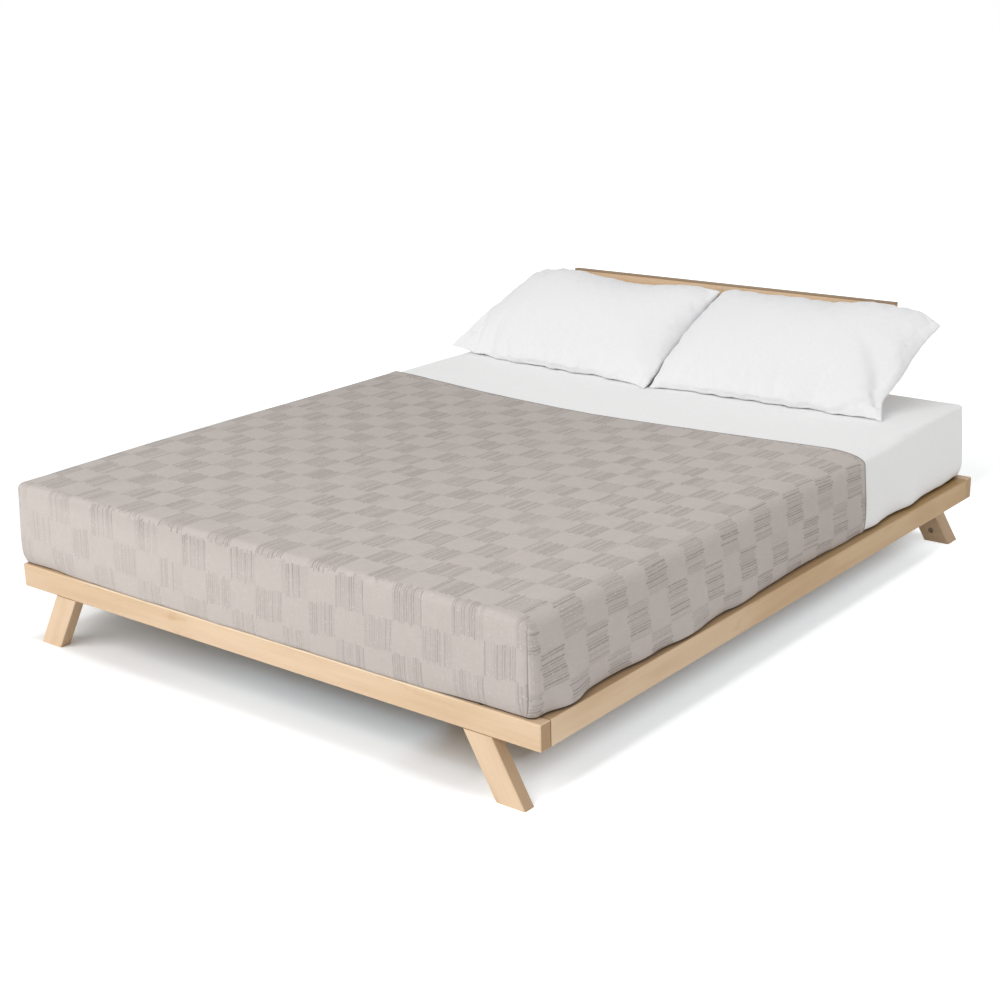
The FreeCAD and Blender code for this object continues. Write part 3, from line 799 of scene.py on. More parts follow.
    def hang_panel(self, steps, stations, kind, way):
        """Hangs one side or end panel from the rim, with its run of cloth as the flat cut."""
        base, facing, *_ = stations[len(stations) // 2]
        runs = run_lengths([self.side_point(base, facing, step) for step in steps], math.dist)
        turn = [m for m, step in enumerate(steps) if step[0] == "roll"]
        for a, b in zip(stations, stations[1:]):
            for k in range(len(steps) - 1):
                corners = []
                for (base, facing, run, seam, hem), m in ((a, k), (b, k), (b, k + 1), (a, k + 1)):
                    point = self.side_point(base, facing, steps[m])
                    marks = {"seam": seam * min(1.0, m / 7), "hem": hem, "low": self.low_share(point[2])}
                    # Rows round the lower edge, from dark_from on, carry the mark for painted shade in the
                    # gap below it
                    dark = turn[self.dark_from] <= m <= turn[-1]
                    marks["gap"] = self.shade(base, facing) if dark else 0.0
                    if kind == "side":
                        place = (way * (MATTRESS_HALF - self.round + runs[m]), run)
                    else:
                        rim = self.y0 + self.round if way < 0 else self.y1 - self.round
                        place = (run - MATTRESS_MIDDLE, rim + way * runs[m])
                    corners.append((self.vert(point, **marks), place))
                if (kind == "side") == (way > 0):
                    corners.reverse()
                self.face(corners)
        return runs

    def draw_weave(self, drift):
        """Shifts the weave where the cloth was pulled out of true."""
        for face in self.mesh.faces:
            for loop in face.loops:
                loop[self.flat].uv = drift(*loop[self.flat].uv)

    def finish(self, name, ripple):
        """Moves the cloth outward by its ripples and returns the mesh."""
        self.mesh.normal_update()
        moves = []
        for vert in self.mesh.verts:
            marks = {key: vert[layer] for key, layer in self.marks.items()}
            moves.append((vert, vert.normal * ripple(vert.co, marks)))
        for vert, move in moves:
            vert.co += move
        return new_mesh(name, self.mesh)


def thicken(piece, thickness):
    """Gives a sheet its thickness, half to each side."""
    thick = piece.modifiers.new("Thickness", "SOLIDIFY")
    thick.thickness = thickness
    thick.offset = 0.0
    thick.use_even_offset = False


# Rings of a stitch: place along it, thickness and lift, as shares of its size and radius
STITCH_RINGS = (
    (-0.5, 0.25, -0.6), (-0.38, 0.9, 0.2), (0.0, 1.0, 0.55), (0.38, 0.9, 0.2), (0.5, 0.25, -0.6),
)
STITCH_SIDES = 6


def stitch_row(name, line, normals, size, pitch, radius):
    """A row of short sewn stitches that follows a line on a cloth."""
    bm = bmesh.new()
    turns = [math.tau * m / STITCH_SIDES for m in range(STITCH_SIDES)]
    runs = run_lengths(line)
    for n in range(1, int(runs[-1] / pitch)):
        k = max(i for i in range(len(line) - 1) if runs[i] <= n * pitch)
        share = (n * pitch - runs[k]) / max(1e-6, runs[k + 1] - runs[k])
        place = line[k].lerp(line[k + 1], share)
        way = normals[k].lerp(normals[k + 1], share).normalized()
        tangent = (line[k + 1] - line[k]).normalized()
        across = way.cross(tangent).normalized()
        loops = []
        for reach, thick, lift in STITCH_RINGS:
            centre = place + tangent * (reach * size) + way * (lift * radius)
            spokes = [across * math.cos(turn) + way * math.sin(turn) for turn in turns]
            loops.append([bm.verts.new(centre + spoke * radius * thick) for spoke in spokes])
        for one, two in zip(loops, loops[1:]):
            for m in range(STITCH_SIDES):
                after = (m + 1) % STITCH_SIDES
                bm.faces.new((one[m], one[after], two[after], two[m])).smooth = True
        bm.faces.new(loops[0][::-1])
        bm.faces.new(loops[-1])
    bmesh.ops.recalc_face_normals(bm, faces=bm.faces)
    return new_mesh(name, bm)


class BED_OT_stage(bpy.types.Operator):
    """Set the floor, the light and the camera"""

    bl_idname = "bed.stage"
    bl_label = "Stage"

    floor_size = 30.0
    # Half width and half length of the bed on the floor
    footprint = (0.82, 1.02)
    # Cool tints of the floor's painted light in the bed's shadow, to its left and right, and its tint in the
    # open
    shadow_tints = ((0.62, 0.84, 1.0), (0.88, 0.95, 1.0))
    open_tint = (0.94, 0.98, 1.0)
    # Lamps: size, place and what they aim at
    lamps = {
        "key": ("soft_key", (5.0, 3.0), (-0.5, -4.9, 4.5), (0.0, 0.0, 0.3)),
        "side_fill": ("side_fill", (2.0, 2.0), (3.6, 1.5, 2.2), (0.8, 0.6, 0.3)),
    }

    def execute(self, context):
        stage = context.scene.bed_stage
        context.scene.view_settings.view_transform = "Standard"
        self.floor(stage)
        self.light(context, stage)
        self.camera(context, stage)
        return {"FINISHED"}

    def floor(self, stage):
        """A wide pale floor with the bed's shadow, partly painted out by light that only the camera sees and
        given a cool painted tint.
        """
        bm = bmesh.new()
        bmesh.ops.create_grid(bm, x_segments=8, y_segments=8, size=self.floor_size)
        floor = new_object("studio_floor", new_mesh("studio_floor", bm))
        material, tree, shader = new_material("studio_floor", stage.floor)
        place = put(tree, "TexCoord")["Object"]
        tone = blend(place.cloud(220.0, 2.0).ramp(0.3, 0.7), scaled(stage.floor, 0.99), stage.floor)
        wire(shader, {"Base Color": tone, "Roughness": 0.9, "Specular IOR Level": 0.0})
        x, y, _ = place.axes()
        away = (abs(x) - self.footprint[0]).at_least(abs(y) - self.footprint[1])
        # Painted tint of the floor's painted light: cool in the bed's shadow, near white in the open
        shadow = blend(x.ramp(0.50, 0.66), *self.shadow_tints)
        tint = blend(away.ramp(-0.12, 0.02), shadow, self.open_tint)
        strength = self.seen(tree) * self.painted_floor_light(x, y, away, stage.floor_lift).at_least(0.0)
        lift = put(tree, "Emission", {"Color": tint, "Strength": strength})
        both = put(tree, "AddShader", {0: Value(shader.outputs[0]), 1: lift[0]})
        output = next(n for n in tree.nodes if n.type == "OUTPUT_MATERIAL")
        feed(output.inputs["Surface"], both[0])
        floor.data.materials.append(material)

    def painted_floor_light(self, x, y, away, lift):
        """Painted light on the floor that only the camera sees: least below the bed, more at its foot and
        right, most in the open; it paints out part of the bed's shadow beside and behind it, and paints a
        deeper shadow by the right foot leg.
        """
        at_foot = y.ramp(-0.77, -0.87, 0.0, x.ramp(-0.55, -0.05, 0.03, 0.14))
        inner = at_foot.at_least(x.ramp(0.57, 0.67, 0.0, 0.14))
        beside = x.ramp(0.645, 0.735, 0.0, 0.31) + x.ramp(0.762, 0.79, 0.0, 0.2)
        behind = y.ramp(0.75, 1.15, 0.0, 0.35)
        by_leg = x.ramp(0.36, 0.47, 0.0, 0.21) * x.ramp(0.66, 0.58) * y.ramp(-0.99, -0.90, 0.45, 1.0)
        outside = away.ramp(-0.025, 0.025, 0.06, lift) + away.ramp(0.2, 5.0, 0.0, 0.5)
        return inner + outside - by_leg + beside + behind

    def seen(self, tree):
        """1 where the camera looks, directly or through gloss or glass."""
        path = put(tree, "LightPath")
        return path["Is Camera Ray"].at_least(path["Is Glossy Ray"]).at_least(path["Is Transmission Ray"])

    def light(self, context, stage):
        """Even light from all round, a large soft lamp at the foot and a weak one on the right."""
        world = bpy.data.worlds.new("studio")
        context.scene.world = world
        world.use_nodes = True
        back = next(n for n in world.node_tree.nodes if n.type == "BACKGROUND")
        wire(back, {"Color": (1, 1, 1), "Strength": self.seen(world.node_tree).spread(stage.fill, 1.0)})
        for power, (name, size, place, aim) in self.lamps.items():
            lamp = bpy.data.lights.new(name, "AREA")
            lamp.shape = "RECTANGLE"
            lamp.size, lamp.size_y = size
            lamp.energy = getattr(stage, power)
            made = new_object(name, lamp)
            made.location = place
            made.rotation_euler = (Vector(aim) - made.location).to_track_quat("-Z", "Y").to_euler()

    def camera(self, context, stage):
        """The photograph's viewing angle."""
        data = bpy.data.cameras.new("photo_view")
        data.lens = stage.lens
        data.sensor_width = 36.0
        data.clip_start = 0.05
        data.clip_end = 200.0
        camera = new_object("photo_view", data)
        across, rise = stage.azimuth, stage.elevation
        level_share = math.cos(rise)
        back = Vector((math.sin(across) * level_share, -math.cos(across) * level_share, math.sin(rise)))
        right = (-back).cross(Vector((0, 0, 1))).normalized()
        up = right.cross(-back)
        side = right * math.cos(stage.roll) + up * math.sin(stage.roll)
        top = up * math.cos(stage.roll) - right * math.sin(stage.roll)
        turn = Matrix((side, top, back)).transposed().to_4x4()
        camera.matrix_world = Matrix.Translation(Vector(stage.eye)) @ turn
        context.scene.camera = camera


class BED_OT_maple_frame(bpy.types.Operator):
    """Finish the rails, legs, posts and headboard in maple"""

    bl_idname = "bed.maple_frame"
    bl_label = "Maple Frame"

    lean = math.radians(30)
    figure = 0.09

    def execute(self, context):
        looks = context.scene.bed_finishes
        tones = (looks.maple_light, looks.maple_dark, looks.maple_end_and_edge_shade)
        # Grain, way to the narrow edge and the depth of its painted shade, and the nodes
        groups = {
            "maple_across": ((1, 0, 0), (0, 0, 1), 0.40, ["foot_rail", "head_rail"]),
            "maple_headboard": ((1, 0, 0), (0, 0, 1), 0.80, ["headboard"]),
            "maple_along": ((0, 1, 0), (0, 0, 1), 0.85, ["side_rail_left", "side_rail_right"]),
        }
        sine, cosine = math.sin(self.lean), math.cos(self.lean)
        for side, way in zip(SIDES, (1, -1)):
            nodes = ["leg_foot_" + side, "leg_head_" + side, "headboard_post_" + side]
            grain, across = (way * sine, 0, cosine), (cosine, 0, -way * sine)
            groups["maple_leaning_" + side] = (grain, across, 0.64, nodes)
        # Height of the lip band, its reach from the middle and its tone
        lips = {
            "maple_across": (0.1985, 0.48, looks.maple_lip_band),
            "maple_headboard": (0.6665, 0.6, scaled(looks.maple_end_and_edge_shade, 0.6)),
        }
        for name, (axis, edge, depth, nodes) in groups.items():
            head_shade = looks.maple_head_shade if name == "maple_along" else None
            dress(nodes, wood(name, axis, tones, self.figure, edge, depth, head_shade, lips.get(name)))
        return {"FINISHED"}


class BED_OT_slatted_base(bpy.types.Operator):
    """Finish the slats, ledgers, blocks, centre beam and centre leg"""

    bl_idname = "bed.slatted_base"
    bl_label = "Slatted Base"

    figure = 0.30

    def execute(self, context):
        looks = context.scene.bed_finishes
        deck = (looks.deck_light, looks.deck_dark, looks.maple_end_and_edge_shade)
        turned = (looks.dowel, scaled(looks.dowel, 0.7), looks.maple_end_and_edge_shade)
        slats = [n for n in NODES if n.startswith("slat_") and n[5:].isdigit()]
        ledgers = ["slat_ledger_" + side for side in SIDES]
        blocks = [n for n in NODES if n.startswith("corner_block_") and not n.endswith("screws")]
        groups = {
            "slat_wood_across": ((1, 0, 0), deck, slats),
            "slat_wood_along": ((0, 1, 0), deck, ledgers + ["centre_beam"]),
            "slat_wood_upright": ((0, 0, 1), deck, blocks + ["centre_leg"]),
            "dowel_wood": ((0, 1, 0), turned, ["leg_dowels", "corner_dowels"]),
        }
        for name, (axis, tones, nodes) in groups.items():
            dress(nodes, wood(name, axis, tones, self.figure))
        return {"FINISHED"}


class BED_OT_hardware(bpy.types.Operator):
    """Finish the bolts, screws, hangers and levelling foot"""

    bl_idname = "bed.hardware"
    bl_label = "Hardware"

    def execute(self, context):
        looks = context.scene.bed_finishes
        plated = [n for n in NODES if n.endswith(("_screws", "_bolts", "_nuts", "_sleeves"))]
        plated += ["centre_leg_bolt", "leveller_insert", "leveller_stud"]
        shade_darkened = ["post_bolts", "slat_screws"]
        hangers = ["beam_hanger_foot", "beam_hanger_head"]
        # Colour, stretch of the marks, roughness, metallic, and nodes; a later group takes nodes over
        groups = {
            "plated_steel": (looks.steel, (900.0, 900.0, 90.0), 0.34, 1.0, plated),
            # Painted shade: post bolts and slat screws are darkened for the shade in the bolts' recesses
            "burnished_steel": (looks.shade_darkened, (900.0, 900.0, 900.0), 0.42, 1.0, shade_darkened),
            "coated_steel": (looks.hanger, (1500.0, 1500.0, 1500.0), 0.55, 0.0, hangers),
            "moulded_pad": (looks.pad, (700.0, 700.0, 700.0), 0.6, 0.0, ["leveller_pad"]),
        }
        for name, (*finish, nodes) in groups.items():
            dress(nodes, metal(name, *finish))
        return {"FINISHED"}


class BED_OT_mattress(bpy.types.Operator):
    """Make the mattress with its ticking"""

    bl_idname = "bed.mattress"
    bl_label = "Mattress"

    # Seams of the quilting in radians per metre, their depth, and how far the sides are drawn in
    seam_pitch, seam_depth, side_inset = 18.0, 0.0035, 0.0004

    def execute(self, context):
        looks = context.scene.bed_finishes
        sizes = context.scene.bed_sizes
        cover = BoxedCover(sizes, sizes.plan_radius, sizes.edge_radius, 2 * sizes.roll_radius)
        cover.lay(cover.rows(math.pi / 2))
        self.close_below(cover)
        made = cover.finish("mattress_core", self.quilting)
        cloth = cotton("ticking", looks.ticking, 0.0012, 0.2, 0.1)
        piece = add_piece("mattress_core", made, cloth, "mattress")
        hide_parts("mattress")
        return {"FINISHED"}

    def close_below(self, cover):
        """Fills the underside inside the last row."""
        rim = [e for e in cover.mesh.edges if e.is_boundary]
        bmesh.ops.contextual_create(cover.mesh, geom=rim)
        bmesh.ops.recalc_face_normals(cover.mesh, faces=cover.mesh.faces)

    def quilting(self, point, marks):
        """Shallow sewn diamonds on the top, kept inside the cover."""
        if point.z < MATTRESS_HIGH.z - 0.012:
            return -self.side_inset
        one = abs(math.sin((point.x + point.y) * self.seam_pitch))
        two = abs(math.sin((point.x - point.y) * self.seam_pitch))
        return -self.seam_depth * (1 - smooth_step(0.0, 0.35, min(one, two)))


class BED_OT_fitted_sheet(bpy.types.Operator):
    """Make the fitted sheet"""

    bl_idname = "bed.fitted_sheet"
    bl_label = "Fitted Sheet"

    # Corner, upper edge and lower edge
    radii = (0.022, 0.010, 0.008)
    # Waves of the lower edge: how far out, place along the bed, width
    waves = ((0.010, 0.43, 0.06), (0.010, 0.64, 0.06), (0.002, 0.90, 0.05))

    def execute(self, context):
        looks = context.scene.bed_finishes
        sizes = context.scene.bed_sizes
        # The sheet's painted gap shade starts at the first step round its lower edge
        cover = BoxedCover(sizes, *self.radii, self.flare, dark_from=0)
        side_run, end_run = cover.lay(cover.rows(math.pi / 2, sizes.sheet_under))
        made = cover.finish("bed_sheet", self.ripple)
        cloth = cotton("sheet_cotton", looks.sheet, 0.0008, 0.10, 0.05)
        piece = add_piece("bed_sheet", made, cloth, "mattress")
        thicken(piece, sizes.sheet_thick)
        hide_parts("fitted_sheet")
        return {"FINISHED"}

    def flare(self, base, way):
        """How far the loose lower edge stands out along the bare part of the sides."""
        return humps(self.waves, base[1]) * way[0] * way[0]

    def ripple(self, point, marks):
        """Faint unevenness where nothing lies on the sheet."""
        move = bpy.context.scene.bed_sizes.sheet_out
        if point.z < MATTRESS_LOW.z + 0.004:
            return move
        below_top = point.z - MATTRESS_HIGH.z
        bare = smooth_step(0.42, 0.50, point.y)
        pressed = smooth_step(0.60, 0.66, point.y) * smooth_step(0.76, 0.70, point.x)
        bare *= 1 - pressed * smooth_step(-0.02, -0.01, below_top)
        rim = smooth_step(0.03, 0.0, abs(below_top + 0.012))
        piping = smooth_step(0.006, 0.0, abs(below_top + 0.0075))
        loose = 0.0004 + 0.0006 * wrinkle(point, 6.0, 3.0) + 0.0005 * wrinkle(point, 17.0, 5.0)
        loose += rim * 0.0012 * wrinkle(point, 26.0, 8.0)
        loose += piping * (0.0016 + 0.0010 * wrinkle(point, 20.0, 12.0))
        loose += marks["low"] * 0.0012 * wrinkle(point, 30.0, 9.0)
        return move + bare * loose - 0.0012 * marks["seam"]


class BED_OT_coverlet(bpy.types.Operator):
    """Make the woven coverlet with its boxed corners, hem and stitching"""

    bl_idname = "bed.coverlet"
    bl_label = "Coverlet"

    # Corner, upper edge and lower edge
    radii = (0.016, 0.009, 0.010)
    # Waves of the lower edge: how far out, place along the bed, width
    waves = (
        (0.020, -0.90, 0.05), (0.018, -0.47, 0.09), (0.009, -0.63, 0.06),
        (0.008, -0.23, 0.08), (-0.003, 0.07, 0.10),
    )
    lowest = 0.2030
    # Painted shade under the head edge, and beside it
    edge_mark, beside_mark = 0.9, 0.6
    # Stitches: place in the corner's turn, number of places down the wall, size, pitch and radius
    stitch_turn, stitch_places, stitch = 0.30, 46, (0.0040, 0.0190, 0.0006)

    def execute(self, context):
        looks = context.scene.bed_finishes
        sizes = context.scene.bed_sizes
        cover = BoxedCover(sizes, *self.radii, self.flare, self.slack, self.shade)
        skin = cover.roll + sizes.coverlet_out + sizes.coverlet_thick / 2 + 0.0015
        tuck = math.asin((cover.roll + cover.z0 - self.lowest) / skin)
        side_run, end_run = cover.lay(cover.rows(tuck), self.head_line(sizes))
        self.mark_head(cover)
        cover.draw_weave(self.pulled)
        made = cover.finish("bed_coverlet", self.ripple)
        cloth = coverlet_cloth(looks, sizes)
        piece = add_piece("bed_coverlet", made, cloth, "mattress")
        thicken(piece, sizes.coverlet_thick)
        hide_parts("coverlet")
        thread = cotton("coverlet_thread", looks.coverlet_fleck, 0.0004, 0.0, 0.05)
        sewn = self.sew_corners(cover, sizes, thread)
        return {"FINISHED"}

    def head_line(self, sizes):
        """Where the head edge lies across the bed."""
        def line(x):
            share = (x - MATTRESS_MIDDLE) / MATTRESS_HALF
            askew = 0.012 * max(0.0, -share)
            return sizes.coverlet_head + askew - sizes.coverlet_bow * (1 - min(1.0, abs(share)) ** 1.4)
        return line

    def mark_head(self, cover):
        """Marks painted shade along the head edge and the row beside it."""
        gap = cover.marks["gap"]
        head_edges = [edge for edge in cover.mesh.edges if edge.is_boundary and edge.verts[0].co.y > 0]
        hem_line = {vert for edge in head_edges for vert in edge.verts}
        for vert in hem_line:
            vert[gap] = self.edge_mark
            for near in {edge.other_vert(vert) for edge in vert.link_edges} - hem_line:
                near[gap] = self.beside_mark

    def pulled(self, u, v):
        """Place in the weave: the rows bow towards the foot and the columns drift with the length."""
        share = u / MATTRESS_HALF
        inner = max(0.0, 1 - share * share)
        skew = (0.010 + 0.030 * v + 0.020 * v * v) * (1 - inner) + (0.041 + 0.036 * v) * inner
        bow = 0.011 * smooth_step(0.0, -0.5, v) * (1 - inner) - (0.041 + 0.019 * v) * inner ** 1.5
        return (u - skew, v - bow)

    def flare(self, base, way):
        """How far the lower edge stands out along the sides."""
        return humps(self.waves, base[1]) * max(0.0, 1 - 1.6 * way[1] * way[1])

    def shade(self, base, way):
        """How much painted shade the gap below the edge gets: the foot lies close on its rail but for the
        corners.
        """
        open_part = max(smooth_step(0.45, 0.64, base[0]), smooth_step(-0.66, -0.76, base[0]))
        return 1 - way[1] * way[1] * (1 - open_part)

    def slack(self, base, way):
        """How much of the tuck below the edge is pulled in."""
        along, seed = (base[1], 21.0) if abs(way[0]) > abs(way[1]) else (base[0], 3.0)
        wave = wrinkle((along, 0.0, 0.0), 7.0, seed)
        return 0.72 + 0.28 * wave if abs(way[0]) > 0.99 else 0.9 + 0.1 * wave

    def sew_corners(self, cover, sizes, cloth):
        """Rows of pale stitches down the seams at the foot corners."""
        names = []
        turn = math.pi / 2 * self.stitch_turn
        bases = (cover.x0 + cover.round, cover.x1 - cover.round)
        for side, way_x, base_x in zip(SIDES, (-1, 1), bases):
            way = (math.cos(turn) * way_x, -math.sin(turn))
            normal = Vector((*way, 0.0))
            line = []
            for k in range(self.stitch_places):
                step = ("wall", 0.04 + 0.94 * k / (self.stitch_places - 1))
                point = Vector(cover.side_point((base_x, cover.y0 + cover.round), way, step))
                marks = {"low": cover.low_share(point.z), "hem": 0.0, "seam": 0.0}
                out = self.ripple(point, marks) + sizes.coverlet_thick / 2
                line.append(point + normal * (out + 0.0002))
            names.append("coverlet_stitches_" + side)
            rows = stitch_row(names[-1], line, [normal] * len(line), *self.stitch)
            add_piece(names[-1], rows, cloth, "mattress")
        return names

    def ripple(self, point, marks):
        """Soft waves, slack near the tuck and the seam's groove."""
        move = bpy.context.scene.bed_sizes.coverlet_out
        move += 0.0010 + 0.0010 * wrinkle(point, 5.0, 1.0) + 0.0006 * wrinkle(point, 13.0, 2.0)
        move += marks["low"] * (0.0014 * wrinkle(point, 11.0, 4.0) + 0.0010 * wrinkle(point, 27.0, 6.0))
        return move + 0.0012 * marks["hem"] - 0.0035 * marks["seam"]


def smooth_line(points, count):
    """Places along a smooth line through points, at even shares of its length."""
    points = [Vector(p) for p in points]
    runs = run_lengths(points)

    def slope(k):
        low, high = max(0, k - 1), min(len(points) - 1, k + 1)
        return (points[high] - points[low]) / (runs[high] - runs[low])

    places = []
    for step in range(count + 1):
        want = step / count * runs[-1]
        k = max(i for i in range(len(points) - 1) if runs[i] <= want + 1e-9)
        span = runs[k + 1] - runs[k]
        f = (want - runs[k]) / span
        place = points[k] * (2 * f ** 3 - 3 * f ** 2 + 1) + points[k + 1] * (3 * f ** 2 - 2 * f ** 3)
        place = place + slope(k) * span * (f ** 3 - 2 * f ** 2 + f)
        places.append(place + slope(k + 1) * span * (f ** 3 - f ** 2))
    return places


class BED_OT_pillows(bpy.types.Operator):
    """Make the two plump pillows that lean on the headboard"""

    bl_idname = "bed.pillows"
    bl_label = "Pillows"

    across = 76
    up = 48
    # Seams round each case, and how blunt the front and the back are at either end
    seams = {
        "left": {
            "below": (
                (-0.848, 0.7, 0.442), (-0.775, 0.722, 0.422), (-0.655, 0.707, 0.413),
                (-0.542, 0.697, 0.4125), (-0.248, 0.689, 0.4125),
                (-0.12, 0.668, 0.4125), (-0.053, 0.638, 0.413),
            ),
            "above": (
                (-0.694, 0.966, 0.655), (-0.64, 0.97, 0.666), (-0.552, 0.972, 0.671), (-0.47, 0.973, 0.665),
                (-0.396, 0.974, 0.655), (-0.267, 0.976, 0.649), (-0.09, 0.975, 0.66), (0.008, 0.968, 0.657),
            ),
            "start": ((-0.848, 0.7, 0.442), (-0.768, 0.832, 0.552), (-0.694, 0.966, 0.655)),
            "stop": ((-0.053, 0.638, 0.413), (-0.034, 0.8, 0.52), (0.008, 0.968, 0.657)),
            "ends": ((0.8, 0.4), (0.7, 0.4)),
        },
        "right": {
            "below": (
                (-0.058, 0.658, 0.413), (0.04, 0.682, 0.4125), (0.235, 0.678, 0.4125), (0.45, 0.687, 0.4115),
                (0.6, 0.691, 0.4105), (0.689, 0.69, 0.41),
            ),
            "above": (
                (0.018, 0.968, 0.655), (0.07, 0.974, 0.662), (0.15, 0.975, 0.66), (0.297, 0.976, 0.66),
                (0.41, 0.976, 0.659), (0.53, 0.974, 0.668), (0.65, 0.968, 0.658), (0.728, 0.95, 0.632),
            ),
            "start": ((-0.058, 0.658, 0.413), (-0.026, 0.82, 0.54), (0.018, 0.968, 0.655)),
            "stop": (
                (0.689, 0.69, 0.41), (0.664, 0.745, 0.455), (0.68, 0.797, 0.499), (0.697, 0.884, 0.573),
                (0.728, 0.95, 0.632),
            ),
            "ends": ((0.32, 0.34), (0.4, 2.0)),
        },
    }
    # Line between the pillows: place along the bed and across it
    between = (
        (0.60, -0.042), (0.65, -0.050), (0.70, -0.044), (0.80, -0.014),
        (0.90, 0.008), (0.968, 0.015), (1.02, 0.020),
    )
    # A place on the lower seams between them, along the bed and up, and their slope from there
    seam_place, seam_slope = (0.682, 0.416), 0.829
    # Room left to the sheet's underside, the headboard and the other pillow
    sheet_room, board_room, pillow_room = 0.0019, 0.0012, 0.0006
    # Fold before the right pillow's slack end: share of the height and share of the width
    fold = ((0.05, 0.20, 0.35, 0.50, 0.62), (0.990, 0.957, 0.908, 0.847, 0.757))
    fold_depth = 0.011
    front_depth, back_depth = 0.066, 0.09
    back_way = (0, 0.669, -0.743)
    cloth_settings = {
        "quality": 6, "mass": 0.01, "tension_stiffness": 15.0, "compression_stiffness": 15.0,
        "shear_stiffness": 6.0, "bending_stiffness": 0.25, "shrink_min": -0.03, "use_pressure": True,
        "uniform_pressure_force": 10.0, "vertex_group_mass": "seam",
    }
    last_frame = 22
    stop_gap = 0.002
    # Stitches of the hem: columns from the open end, size, pitch and radius
    hem_column, stitch = 3, (0.0034, 0.0046, 0.00045)

    def execute(self, context):
        looks = context.scene.bed_finishes
        cloth = cotton("pillow_cotton", looks.pillow, 0.0007, 0.05, 0.05)
        thread = cotton("pillow_thread", looks.pillow, 0.0004, 0.0, 0.05)
        for side in SIDES:
            made, grid = self.puff(context, side)
            self.crumple(made, grid, side)
            self.settle(made, grid, side)
            hem = self.hem(made, grid, side)
            piece = add_piece("bed_pillow_" + side, made, cloth, "pillow_" + side)
            smoother = piece.modifiers.new("Smooth", "SUBSURF")
            smoother.levels = 1
            smoother.render_levels = 1
            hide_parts("pillow_" + side)
            add_piece("pillow_hem_" + side, hem, thread, "pillow_" + side)
        return {"FINISHED"}

    def on_seam(self, i, j):
        """Whether a place in the grid lies on the seam."""
        return i in (0, self.across) or j in (0, self.up)

    def puff(self, context, side):
        """Two sewn panels on the case's seam, blown up between the mattress and the headboard."""
        sizes = context.scene.bed_sizes
        across, up = self.across, self.up
        seam = self.seams[side]
        below, above = (smooth_line(seam[key], across) for key in ("below", "above"))
        start, stop = (smooth_line(seam[key], up) for key in ("start", "stop"))
        for i, place in enumerate(below):
            s = i / across
            place.y -= 0.030 * wrinkle((s * 12.0, 0.0, 0.0), 1.0, 57.0) * math.sin(math.pi * s) ** 0.5
        verts = []
        grid = {}
        faces = []
        cut = []
        for layer in (0, 1):
            for j in range(up + 1):
                for i in range(across + 1):
                    if layer and self.on_seam(i, j):
                        grid[layer, i, j] = grid[0, i, j]
                        continue
                    s, t = i / across, j / up
                    plain = below[0].lerp(below[-1], s).lerp(above[0].lerp(above[-1], s), t)
                    point = below[i].lerp(above[i], t) + start[j].lerp(stop[j], s) - plain
                    grid[layer, i, j] = len(verts)
                    verts.append(point + self.plump(side, layer, s, t))
            shift = layer * (sizes.case_width + 0.1)
            for j in range(up):
                for i in range(across):
                    quad = [(i, j), (i + 1, j), (i + 1, j + 1), (i, j + 1)]
                    if layer:
                        quad.reverse()
                    faces.append([grid[layer, a, b] for a, b in quad])
                    for a, b in quad:
                        cut += [a / across * sizes.case_width + shift, b / up * sizes.case_height]
        mesh = bpy.data.meshes.new("pillow_case_" + side)
        mesh.from_pydata(verts, [], faces)
        mesh.uv_layers.new(name="flat").data.foreach_set("uv", cut)
        mesh.shade_smooth()
        held = [grid[0, i, j] for i in range(across + 1) for j in range(up + 1) if self.on_seam(i, j)]
        return self.blow_up(context, mesh, held), grid

    def plump(self, side, layer, s, t):
        """How far the filling pushes a panel out from the seam."""
        if s in (0.0, 1.0) or t in (0.0, 1.0):
            return Vector((0, 0, 0))
        power = self.seams[side]["ends"][layer][0 if s < 0.5 else 1]
        lift = math.sin(math.pi * s) ** power * math.sin(math.pi * t) ** 0.42
        if layer:
            return Vector(self.back_way) * lift * self.back_depth
        if side == "right":
            dent = hump(s, 0.945 - 0.05 * t, 0.045) * smooth_step(0.0, 0.15, t) * smooth_step(0.95, 0.55, t)
            lift *= 1 - 0.5 * dent
        turn = math.radians(-16 + 96 * t ** 0.8)
        return Vector((0, -math.cos(turn), math.sin(turn))) * lift * self.front_depth

    def blow_up(self, context, mesh, held):
        """Runs the cloth from its sewn shape and returns its mesh at the last frame."""
        scene = context.scene
        piece = new_object(mesh.name, mesh)
        piece.vertex_groups.new(name="seam").add(held, 1.0, "REPLACE")
        walls = self.walls()
        cloth = piece.modifiers.new("Cloth", "CLOTH")
        for name, value in self.cloth_settings.items():
            setattr(cloth.settings, name, value)
        cloth.settings.effector_weights.gravity = 0.0
        cloth.collision_settings.use_collision = True
        cloth.collision_settings.distance_min = self.stop_gap
        cloth.collision_settings.use_self_collision = False
        for k in range(1, self.last_frame + 1):
            scene.frame_set(k)
        graph = context.evaluated_depsgraph_get()
        made = bpy.data.meshes.new_from_object(piece.evaluated_get(graph))
        for thing in [piece] + walls:
            bpy.data.objects.remove(thing)
        scene.frame_set(1)
        return made

